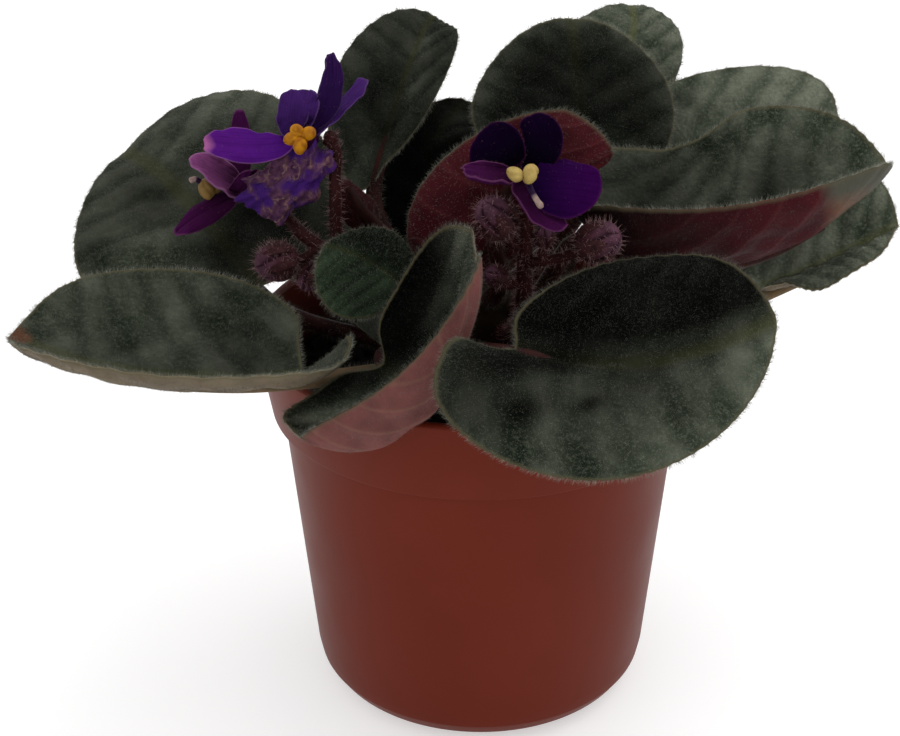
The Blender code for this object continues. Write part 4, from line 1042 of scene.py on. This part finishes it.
def withered_petal_material(name, base, violet, pale, wrinkle):
    """A crumpled petal: smooth violet folds among brownish pink ones with uneven pale wrinkles."""
    look = Look(name)
    _, _, _, across = look.marks()
    rows = across * 3.5 + look.noise(420, 4.0).ramp(0.0, 1.0, -2.2, 2.2)
    line = rows.waves().ramp(0.0, 0.22, 1.0, 0.0) * look.noise(700).ramp(0.35, 0.65)
    crumpled = look.noise(900, 4.0).ramp(0.35, 0.7).mix(base, pale)
    colour = look.noise(210, 2.0).ramp(0.44, 0.54).mix(line.mix(crumpled, wrinkle), violet)
    return look.finish(colour, 0.6, look.noise(1300, 4.0) + line * 0.8, 0.3, 0.8, shine=0.02)


def anther_material(name, light, deep):
    """Waxy yellow, deeper in places."""
    look = Look(name)
    colour = look.noise(900).ramp(0.35, 0.7).mix(light, deep)
    return look.finish(colour, 0.5, look.noise(2500), 0.1, 0.5, shine=0.1)


def bud_material():
    """Rolled petals, dark red at the foot and dusky violet at the tip, with painted shade where they
    overlap.
    """
    look = Look("bud_petals")
    along, deep, _, _ = look.marks()
    colour = along.ramp(0.4, 0.9).mix(BUD_FOOT, BUD_TIP)
    colour = look.noise(700, 4.0).ramp(0.35, 0.7, 0.0, 0.6).mix(colour, BUD_DARK_AND_FURROW_SHADE)
    # The furrows are painted dark: painted shade where the petals overlap.
    return look.finish(deep.mix(colour, BUD_DARK_AND_FURROW_SHADE), 0.55, look.noise(1800), 0.15)


def style_material():
    """A style that is dark violet at its foot and pale at its tip."""
    look = Look("style")
    along, _, _, _ = look.marks()
    pale = look.noise(900).ramp(0.3, 0.7).mix(STYLE_PALE, STYLE_PALEST)
    colour = along.ramp(0.5, 0.66).mix(STYLE_FOOT, pale)
    return look.finish(colour, 0.5, look.noise(1500), 0.1, 0.5, shine=0.1)


def pot_material():
    """Smooth terracotta-coloured plastic with a satin surface, and painted shade down its inner wall.
    """
    look = Look("terracotta_plastic")
    colour = look.noise(45).ramp(0.3, 0.7).mix(POT_COLOUR, POT_COLOUR_WORN)
    colour = look.noise(600, 5.0, 0.65).ramp(0.62, 0.85, 0.0, 0.12).mix(colour, POT_DUST)
    rough = look.noise(90).ramp(0.3, 0.7, 0.40, 0.48)
    # The mesh's tone paints shade on the inner wall.
    return look.finish(look.shaded(colour), rough, look.noise(1800), 0.03, 0.3, shine=0.07)


def soil_material():
    """Dark peaty potting mix, uneven in colour."""
    look = Look("potting_mix")
    colour = look.noise(700, 6.0, 0.7).ramp(0.3, 0.75).mix(SOIL_DARK, SOIL_LIGHT)
    return look.finish(colour, 0.95, look.noise(1500, 6.0, 0.7), 0.6, 1.0)


def make_materials():
    """The materials that more than one piece uses."""
    made = {"pot": pot_material(), "soil": soil_material(), "bud": bud_material(),
            "style": style_material()}
    made |= {name: stem_material(name, *values) for name, values in STEMS.items()}
    made |= {name: hair_material(name, colour) for name, colour in HAIRS.items()}
    made |= {name: anther_material(name, *colours) for name, colours in ANTHERS.items()}
    for name, colours in PETALS.items():
        kind_of = withered_petal_material if name == "withered" else petal_material
        made[name] = kind_of("petal_" + name, *colours)
    return made


def leaf_relief(size, phase):
    """Heights of a leaf's two sides: quilted between its side veins, with a groove on its midrib."""
    def relief(along, aside, radius, angle):
        reach = np.abs(aside)
        quilt = 0.5 - 0.5 * np.cos(2 * math.pi * vein_rows(along, reach))
        fade = np.clip(reach / 0.22, 0, 1) * (1 - radius**5)
        dapple = np.sin(13 * along + phase) * np.sin(9 * aside + 2 * phase)
        dapple = dapple + 0.6 * np.sin(23 * along - 17 * aside + phase)
        swell = size * (QUILT_HEIGHT * quilt * fade + DAPPLE_HEIGHT * dapple * (1 - radius**4))
        groove = MIDRIB_GROOVE * np.exp(-((aside / MIDRIB_WIDTH) ** 2)) * np.clip(1 - along, 0, 1)
        ragged = 0.10 * np.sin(31 * angle + phase) * radius**8
        return swell - groove + ragged, swell * 0.8 + ragged
    return relief


def make_leaf(name, leaf, number, materials):
    """One leaf: its blade, its petiole with the midrib, and its hairs."""
    rng = np.random.default_rng(LEAF_SEED + number)
    turns, step, teeth = LEAF_TURNS, LEAF_ROW_STEP, LEAF_TEETH
    if leaf["small"]:
        turns, step, teeth = SMALL_LEAF_TURNS, step * SMALL_LEAF_COARSENESS, teeth * SMALL_LEAF_TEETH
    length = np.linalg.norm(np.subtract(leaf["tip"], leaf["base"]))
    relief = leaf_relief(min(length / FULL_LEAF_LENGTH, 1.0), number * 1.7)
    made = blade(leaf, turns, rows_of(LEAF_ROWS, step), LEAF_THICKNESS, LEAF_MARGIN_THICKNESS,
                 relief, 2 * round(teeth / 2), LEAF_TOOTH)
    path, radii = petiole_path(leaf)
    places = np.linspace(0, len(radii) - 1, PETIOLE_STEPS)
    widths = np.interp(places, np.arange(len(radii)), radii)
    points, faces = tube(smooth(path, PETIOLE_STEPS), widths)
    tones = leaf_painted_shading(leaf, made)
    whole, down = Gathered(), Gathered()
    parts = numbered(made["upper"], 0) + numbered(made["lower"], 1)
    whole.add(made["points"], parts, made["marks"], tones)
    whole.add(points, numbered(faces, 2))
    looks = [leaf_top_material(name + "_top", leaf), leaf_under_material(name + "_under", leaf),
             materials[UNDERSIDES[leaf["under"]][2]]]
    placed(whole.piece(name + "_look", looks), "leaf", name)
    blade_hairs(down, made, tones, leaf["hair"], leaf["pile"], rng)
    add_coat(down, points, faces[0][: PETIOLE_STEPS // 2 * TUBE_SIDES], 0.7, PETIOLE_HAIRS, rng)
    placed(down.piece(name + "_hairs", [materials["hair_pale"]]), "leaf")


def petal_relief(ruffle, crumple, curl, phase):
    """Heights of a petal: a ruffled margin, faint ribs, and a curled tip or a crumpled face."""
    def relief(along, aside, radius, angle):
        waves = np.sin(7 * angle + phase) + 0.5 * np.sin(13 * angle + 2 * phase)
        height = ruffle * radius**3 * waves
        height = height + 0.06 * np.sin(22 * aside) * radius
        bent = 11 * along + 9 * aside + 2.5 * np.sin(6 * aside + 4 * along) + phase
        folds = np.sin(bent) + 0.6 * np.sin(17 * aside - 6 * along + 2 * np.sin(8 * along))
        height = height + crumple * folds * (0.3 + radius)
        height = height + curl * np.clip((along - 0.72) / 0.28, 0, 1) ** 2
        return height, height
    return relief


def make_bloom(name, spec, number, materials):
    """Five petals joined to a short throat, with fine hairs on their backs."""
    rng = np.random.default_rng(BLOOM_SEED + number)
    front, back = np.array(spec["throat"], float)
    kinds = list(PETALS)
    throat = [front + (front - back) * 0.1, front, (front + back) / 2, back]
    widths = np.multiply(THROAT_RADIUS, (0.5, 1, 0.8, 0.55))
    radii = np.interp(np.linspace(0, 3, THROAT_STEPS), range(4), widths)
    points, faces = tube(smooth(throat, THROAT_STEPS), radii, THROAT_SIDES)
    whole, down = Gathered(), Gathered()
    whole.add(points, numbered(faces, kinds.index("magenta")))
    for i, form in enumerate(spec["petals"]):
        before, behind, ruffle, crumple, curl = form["look"]
        if surface_normals(form, np.array([0.5]), np.array([0.01]))[0] @ unit(front - back) <= 0:
            before, behind, curl = behind, before, -curl
        relief = petal_relief(ruffle, crumple, curl, number + 1.3 * i)
        made = blade(form, PETAL_TURNS, rows_of(PETAL_ROWS, PETAL_ROW_STEP), PETAL_THICKNESS,
                     PETAL_MARGIN_THICKNESS, relief)
        parts = numbered(made["upper"], kinds.index(before))
        parts += numbered(made["lower"], kinds.index(behind))
        whole.add(made["points"], parts, made["marks"])
        blade_hairs(down, made, np.ones(len(made["points"])), 1.0, 0.0, rng,
                    (PETAL_HAIRS, PETAL_HAIRS, PETAL_MARGIN_HAIRS))
    looks = [materials[kind] for kind in kinds]
    placed(whole.piece(f"corolla_{name}_look", looks), "petal", f"corolla_{name}")
    placed(down.piece(f"corolla_{name}_hairs", [materials["hair_pink"]]), "petal")


def make_anthers(name, spec, materials):
    """The anthers, egg-shaped with furrows, and the style where the bloom has one."""
    whole = Gathered()
    for centre, radius, way in spec["anthers"]:
        points, faces, marks = egg(centre, way, radius, radius * ANTHER_LENGTH, 2, 0.2)
        whole.add(points, numbered(faces), marks)
    if spec["style"]:
        steps = len(STYLE_RADII)
        points, faces = tube(smooth(spec["style"], steps), STYLE_RADII, STYLE_SIDES)
        marks = np.zeros((len(points), 3))
        marks[:, 0] = np.append(np.repeat(np.linspace(0, 1, steps), STYLE_SIDES), (0, 1))
        whole.add(points, numbered(faces, 1), marks)
    looks = [materials[spec["anther_look"]], materials["style"]]
    placed(whole.piece(f"anthers_{name}_look", looks), "anther", f"anthers_{name}")


def sepal_forms(foot, tip, radius):
    """Narrow pointed blades round the foot of a bud, pressed against it."""
    way = unit(tip - foot)
    side = unit(np.cross(way, (0.2, 0.3, 1.0)))
    other = np.cross(way, side)
    full, half = (foot + (tip - foot) * share * SEPAL_REACH for share in (1, 0.5))
    forms = []
    for i in range(SEPALS):
        turn = 2 * math.pi * (i + 0.25) / SEPALS
        out = math.cos(turn) * side + math.sin(turn) * other
        wide = np.cross(out, way) * radius * 0.42
        forms.append(petal(
            foot + out * radius * 0.35, half + out * radius * 1.18, full + out * radius * 0.9,
            half + out * radius + wide, half + out * radius - wide, bulge=(0, 0), wave=(0, 3, 0),
            width=0.95,
        ))
    return forms


def make_stalk(name, spec, number, materials):
    """A branched stalk with its calyxes, buds and sepals, and long hairs on all of them."""
    rng = np.random.default_rng(STALK_SEED + number)
    whole, down = Gathered(), Gathered()

    def add(points, faces, number=0, marks=(0, 0, 0), kind=STALK_HAIRS):
        whole.add(points, numbered(faces, number), marks)
        for part in faces:
            add_coat(down, points, part, 1.0, kind, rng)

    root, out = rooted(spec, 1.9)
    add(*limb([root, root + out * 0.8, *spec["main"]], STALK_RADII, STALK_STEPS))
    for path in spec["branches"]:
        add(*limb(path, BRANCH_RADII, STALK_STEPS))
    for foot, tip in spec["calyxes"]:
        points, faces, _ = egg(foot, np.subtract(tip, foot), CALYX_RADIUS, CALYX_HALF_LENGTH)
        add(points, faces)
    for foot, tip, radius in spec["buds"]:
        foot, tip = np.array(foot, float), np.array(tip, float)
        way = unit(tip - foot)
        heart = tip - way * radius * 1.2
        sagging = foot * 0.5 + heart * 0.5 + np.array((0, 0, -0.8))
        add(*limb([foot, sagging, heart], BUD_STEM_RADII, BUD_STEM_STEPS))
        points, faces, marks = egg(heart, way, radius, radius * BUD_LENGTH, 5, BUD_FURROW)
        add(points, faces, 1, marks, BUD_HAIRS)
        for form in sepal_forms(heart - way * radius * BUD_LENGTH, tip, radius):
            made = blade(form, SEPAL_TURNS, rows_of((1.0, 0.9), 0.18), SEPAL_THICKNESS,
                         SEPAL_MARGIN_THICKNESS, petal_relief(0.05, 0.0, 0.0, number))
            add(made["points"], (*made["upper"], *made["lower"]), 2, made["marks"], BUD_HAIRS)
    looks = [materials["stalk_red"], materials["bud"], materials["sepal_skin"]]
    placed(whole.piece(name + "_look", looks), "stem", name)
    placed(down.piece(name + "_hairs", [materials["hair_bud"]]), "stem")


def pot_profile():
    """The wall's outline, up the outside and down the inside, with the axis left open."""
    foot, ledge = BASE_RADIUS - BASE_EDGE_RADIUS, POT_HEIGHT - COLLAR_HEIGHT
    turns = [math.radians(90 * step / BASE_EDGE_STEPS) for step in range(BASE_EDGE_STEPS + 1)]
    return [
        (PAD_RADIUS, 0.0),
        (PAD_RADIUS + FOOT_HEIGHT, FOOT_HEIGHT),
        (foot - FOOT_WIDTH - FOOT_HEIGHT, FOOT_HEIGHT),
        (foot - FOOT_WIDTH, 0.0),
        *((foot + BASE_EDGE_RADIUS * math.sin(turn), BASE_EDGE_RADIUS * (1 - math.cos(turn)))
          for turn in turns),
        (BODY_TOP_RADIUS, ledge - 0.6),
        (BODY_TOP_RADIUS + 0.5, ledge),
        (COLLAR_LOW_RADIUS, ledge),
        (RIM_RADIUS - 0.2, POT_HEIGHT - 1.4),
        (RIM_RADIUS, POT_HEIGHT - 0.5),
        (RIM_RADIUS - 0.4, POT_HEIGHT),
        (RIM_RADIUS - 1.1, POT_HEIGHT),
        (RIM_RADIUS - 0.3 - WALL, POT_HEIGHT - 0.6),
        (COLLAR_LOW_RADIUS - WALL, ledge + 1.6),
        (BODY_TOP_RADIUS - WALL, ledge - 0.6),
        (BASE_RADIUS + 0.35 - WALL, BASE_EDGE_RADIUS + 1.0),
        (BASE_RADIUS - 1.9 - WALL, 3.2),
        (foot, FOOT_HEIGHT + BASE_THICKNESS),
    ]


def inner_radius(height):
    """The pot's inner radius at a height, by straight lines between the outline's last points."""
    radii, heights = zip(*reversed(pot_profile()[-6:]))
    return float(np.interp(height, heights, radii))


def softened(profile, size):
    """The same outline with its sharp corners rounded."""
    corners = np.array(profile, float)
    made = [corners[0]]
    for before, corner, after in zip(corners[:-2], corners[1:-1], corners[2:]):
        back, ahead = before - corner, after - corner
        if unit(back) @ unit(ahead) < NEARLY_STRAIGHT:
            made.append(corner)
            continue
        start = corner + unit(back) * min(size, np.linalg.norm(back) * 0.4)
        end = corner + unit(ahead) * min(size, np.linalg.norm(ahead) * 0.4)
        for share in (0.0, 0.33, 0.67, 1.0):
            rest = 1 - share
            made.append(start * rest**2 + corner * 2 * share * rest + end * share**2)
    return [*made, corners[-1]]


def make_pot(materials):
    """The thin-walled pot, turned from its outline, with its drainage holes cut."""
    profile = softened(pot_profile(), POT_SOFT_EDGE)
    rings = [level_ring(radius, height, POT_TURNS) for radius, height in profile]
    points, faces = closed(rings, (0, 0, profile[0][1]), (0, 0, profile[-1][1]))
    pot = new_piece("pot_look", points, numbered(faces), [materials["pot"]])
    cutters = []
    for i in range(DRAIN_HOLES):
        turn = 2 * math.pi * (i + 0.5) / DRAIN_HOLES
        x, y = DRAIN_CIRCLE_RADIUS * math.cos(turn), DRAIN_CIRCLE_RADIUS * math.sin(turn)
        path = [(x, y, height) for height in DRAIN_HOLE_CUT]
        points, faces = tube(path, [DRAIN_HOLE_RADIUS] * len(path), DRAIN_HOLE_SIDES)
        cutters.append(new_piece(f"drain_cutter_{i}", points, numbered(faces), []))
        cut = pot.modifiers.new(f"Drain hole {i}", "BOOLEAN")
        cut.operation = "DIFFERENCE"
        cut.solver = "EXACT"
        cut.object = cutters[-1]
    graph = bpy.context.evaluated_depsgraph_get()
    mesh = bpy.data.meshes.new_from_object(pot.evaluated_get(graph))
    pot.modifiers.clear()
    pot.data = mesh
    mesh.set_sharp_from_angle(angle=SHARP_TURN)
    for cutter in cutters:
        bpy.data.objects.remove(cutter, do_unlink=True)
    # Painted shade: the inner wall darkens below the rim, where the pot shades it.
    tones = []
    for vertex in mesh.vertices:
        x, y, height = (float(part) / MM for part in vertex.co)
        inside = height > FOOT_HEIGHT + BASE_THICKNESS / 2
        inside = inside and math.hypot(x, y) < inner_radius(height) + 0.3
        deep = min(max((POT_HEIGHT - height) / INNER_WALL_SHADE_FADE, 0), 1)
        tones.append(1 - (1 - INNER_WALL_SHADE) * deep if inside else 1)
    fill(mesh.attributes.new("tone", "FLOAT", "POINT").data, "value", tones)
    placed(pot, "pot_plastic", "pot")


def crumb(place, rng):
    """Points of a lump of potting mix with eight faces."""
    size = rng.uniform(*CRUMB_SIZES)
    corners = np.array([(1, 0, 0), (-1, 0, 0), (0, 1, 0), (0, -1, 0), (0, 0, 1), (0, 0, -1)], float)
    return corners * size + unit(rng.normal(size=(6, 3))) * size * 0.5 + place


def make_soil(materials):
    """Potting mix that fills the pot to below its rim, rough on top and strewn with crumbs."""
    rng = np.random.default_rng(SOIL_SEED)
    floor, ledge = FOOT_HEIGHT + BASE_THICKNESS + GAP, POT_HEIGHT - COLLAR_HEIGHT
    edge, hole = inner_radius(SOIL_TOP - 1) - GAP - 0.25, CROWN_FOOT_RADIUS + GAP
    rings = [level_ring(BASE_RADIUS - BASE_EDGE_RADIUS - 0.2, floor, SOIL_TURNS)]
    for height in (3.6, BASE_EDGE_RADIUS + 1.2, 15, 24, 33, 42, ledge - 0.4, ledge + 1.6):
        rings.append(level_ring(inner_radius(height) - GAP - 0.15, height, SOIL_TURNS))
    rings.append(level_ring(edge, SOIL_TOP - 1.0, SOIL_TURNS))
    sides = len(rings) * SOIL_TURNS
    turns = turns_of(SOIL_TURNS)
    for share in np.linspace(0.97, hole / edge, SOIL_ROWS):
        x = edge * share * np.cos(turns) + CROWN_CENTRE[0] * (1 - share)
        y = edge * share * np.sin(turns) + CROWN_CENTRE[1] * (1 - share)
        swell = 0.25 * np.sin(0.55 * x + 1) * np.cos(0.6 * y) + 0.15 * np.sin(1.3 * x - 1.1 * y)
        rough = SOIL_ROUGHNESS * (rng.random(SOIL_TURNS) - 0.5)
        rings.append(np.stack([x, y, SOIL_TOP + swell + rough], 1))
    bottom = CROWN_BOTTOM - GAP
    rings.append(level_ring(hole, bottom, SOIL_TURNS, CROWN_CENTRE))
    points, faces = closed(rings, (0, 0, floor), (*CROWN_CENTRE, bottom))
    whole = Gathered()
    whole.add(points, numbered(faces))
    top = faces[0][sides:-SOIL_TURNS]
    places, _, _ = scatter(points, top, CRUMBS / (math.pi * edge**2), rng)
    crumb_faces = np.array([
        (0, 2, 4), (2, 1, 4), (1, 3, 4), (3, 0, 4), (2, 0, 5), (1, 2, 5), (3, 1, 5), (0, 3, 5),
    ])
    for place in places:
        whole.add(crumb(place, rng), [(crumb_faces, 0)])
    placed(whole.piece("soil_look", [materials["soil"]]), "potting_mix", "soil")


def make_crown(materials):
    """The short fleshy stem that the petioles grow from, ringed by old leaf scars."""
    heights = np.linspace(CROWN_BOTTOM, CROWN_TOP - 0.3, CROWN_ROWS)
    turns = turns_of(CROWN_SIDES)
    radii = []
    for height in heights:
        scars = SCAR_HEIGHT * np.sin(3 * turns + height * 1.9) * np.sin(height * 2.4)
        radii.append(crown_radius(height) - SCAR_HEIGHT + scars)
    points, faces = tube([(*CROWN_CENTRE, height) for height in heights], radii, CROWN_SIDES)
    piece = new_piece("crown_stem_look", points, numbered(faces), [materials["crown_tissue"]])
    placed(piece, "stem", "crown_stem")


def make_floor():
    """A plain pale floor, wide enough to fill the view."""
    look = Look("floor_pale")
    shade = look.noise(3.0).ramp(0.0, 1.0, *FLOOR_GREYS)
    colour = look.node("ShaderNodeCombineColor", {0: shade, 1: shade, 2: shade})
    # The floor glows a little: painted light that keeps it white and lightens the shadow round the pot.
    material = look.finish(colour, 0.9, shine=0.0, Emission_Strength=FLOOR_GLOW,
                           Emission_Color=WHITE)
    corners = [(x * FLOOR_HALF, y * FLOOR_HALF, -FLOOR_DEPTH)
               for x, y in ((-1, -1), (1, -1), (1, 1), (-1, 1))]
    new_piece("floor", corners, [(np.array([(0, 1, 2, 3)]), 0)], [material])


def stand(name, data, place, side, top, ahead):
    """Puts a lamp or camera at a place in metres, facing ahead."""
    made = bpy.data.objects.new(name, data)
    rows = [(side[i], top[i], -ahead[i], place[i]) for i in range(3)]
    made.matrix_world = Matrix([*rows, (0, 0, 0, 1)])
    bpy.context.scene.collection.objects.link(made)
    return made


def make_lights():
    """Plain soft studio light: a pale surround and a large lamp overhead."""
    world = bpy.data.worlds.new("studio")
    world.use_nodes = True
    backdrop = world.node_tree.nodes["Background"]
    backdrop.inputs["Color"].default_value = (*WHITE, 1)
    backdrop.inputs["Strength"].default_value = WORLD_LIGHT
    bpy.context.scene.world = world
    light = bpy.data.lights.new("overhead", "AREA")
    light.shape = "SQUARE"
    light.size = LAMP_SIZE
    light.energy = LAMP_POWER
    ahead = unit(np.subtract(LAMP_TARGET, LAMP_PLACE))
    side = unit(np.cross(ahead, (0.0, 0.02, 1.0)))
    stand("overhead", light, LAMP_PLACE, side, np.cross(side, ahead), ahead)
    bpy.context.scene.view_settings.view_transform = "Standard"


def make_camera():
    """A camera at the photograph's viewing angle."""
    pitch, yaw, roll = (math.radians(v) for v in (CAMERA_PITCH, CAMERA_YAW, CAMERA_ROLL))
    level = math.cos(pitch)
    ahead = np.array([math.sin(yaw) * level, math.cos(yaw) * level, -math.sin(pitch)])
    flat = unit(np.cross(ahead, (0, 0, 1)))
    upright = np.cross(flat, ahead)
    side = flat * math.cos(roll) - upright * math.sin(roll)
    top = upright * math.cos(roll) + flat * math.sin(roll)
    data = bpy.data.cameras.new("camera")
    data.lens = CAMERA_LENS
    data.sensor_width = CAMERA_SENSOR
    data.sensor_fit = "HORIZONTAL"
    data.clip_start = 0.01
    bpy.context.scene.camera = stand("camera", data, CAMERA_PLACE, side, top, ahead)


def main():
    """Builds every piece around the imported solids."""
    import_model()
    make_camera()
    make_lights()
    make_floor()
    materials = make_materials()
    make_pot(materials)
    make_soil(materials)
    make_crown(materials)
    for number, (name, given) in enumerate(LEAVES.items()):
        make_leaf("leaf_" + name, {**PLAIN_LEAF, **given}, number, materials)
    for number, (name, spec) in enumerate(STALKS.items()):
        make_stalk("flower_stalk_" + name, spec, number, materials)
    for number, (name, spec) in enumerate(BLOOMS.items()):
        make_bloom(name, spec, number, materials)
        make_anthers(name, spec, materials)


main()
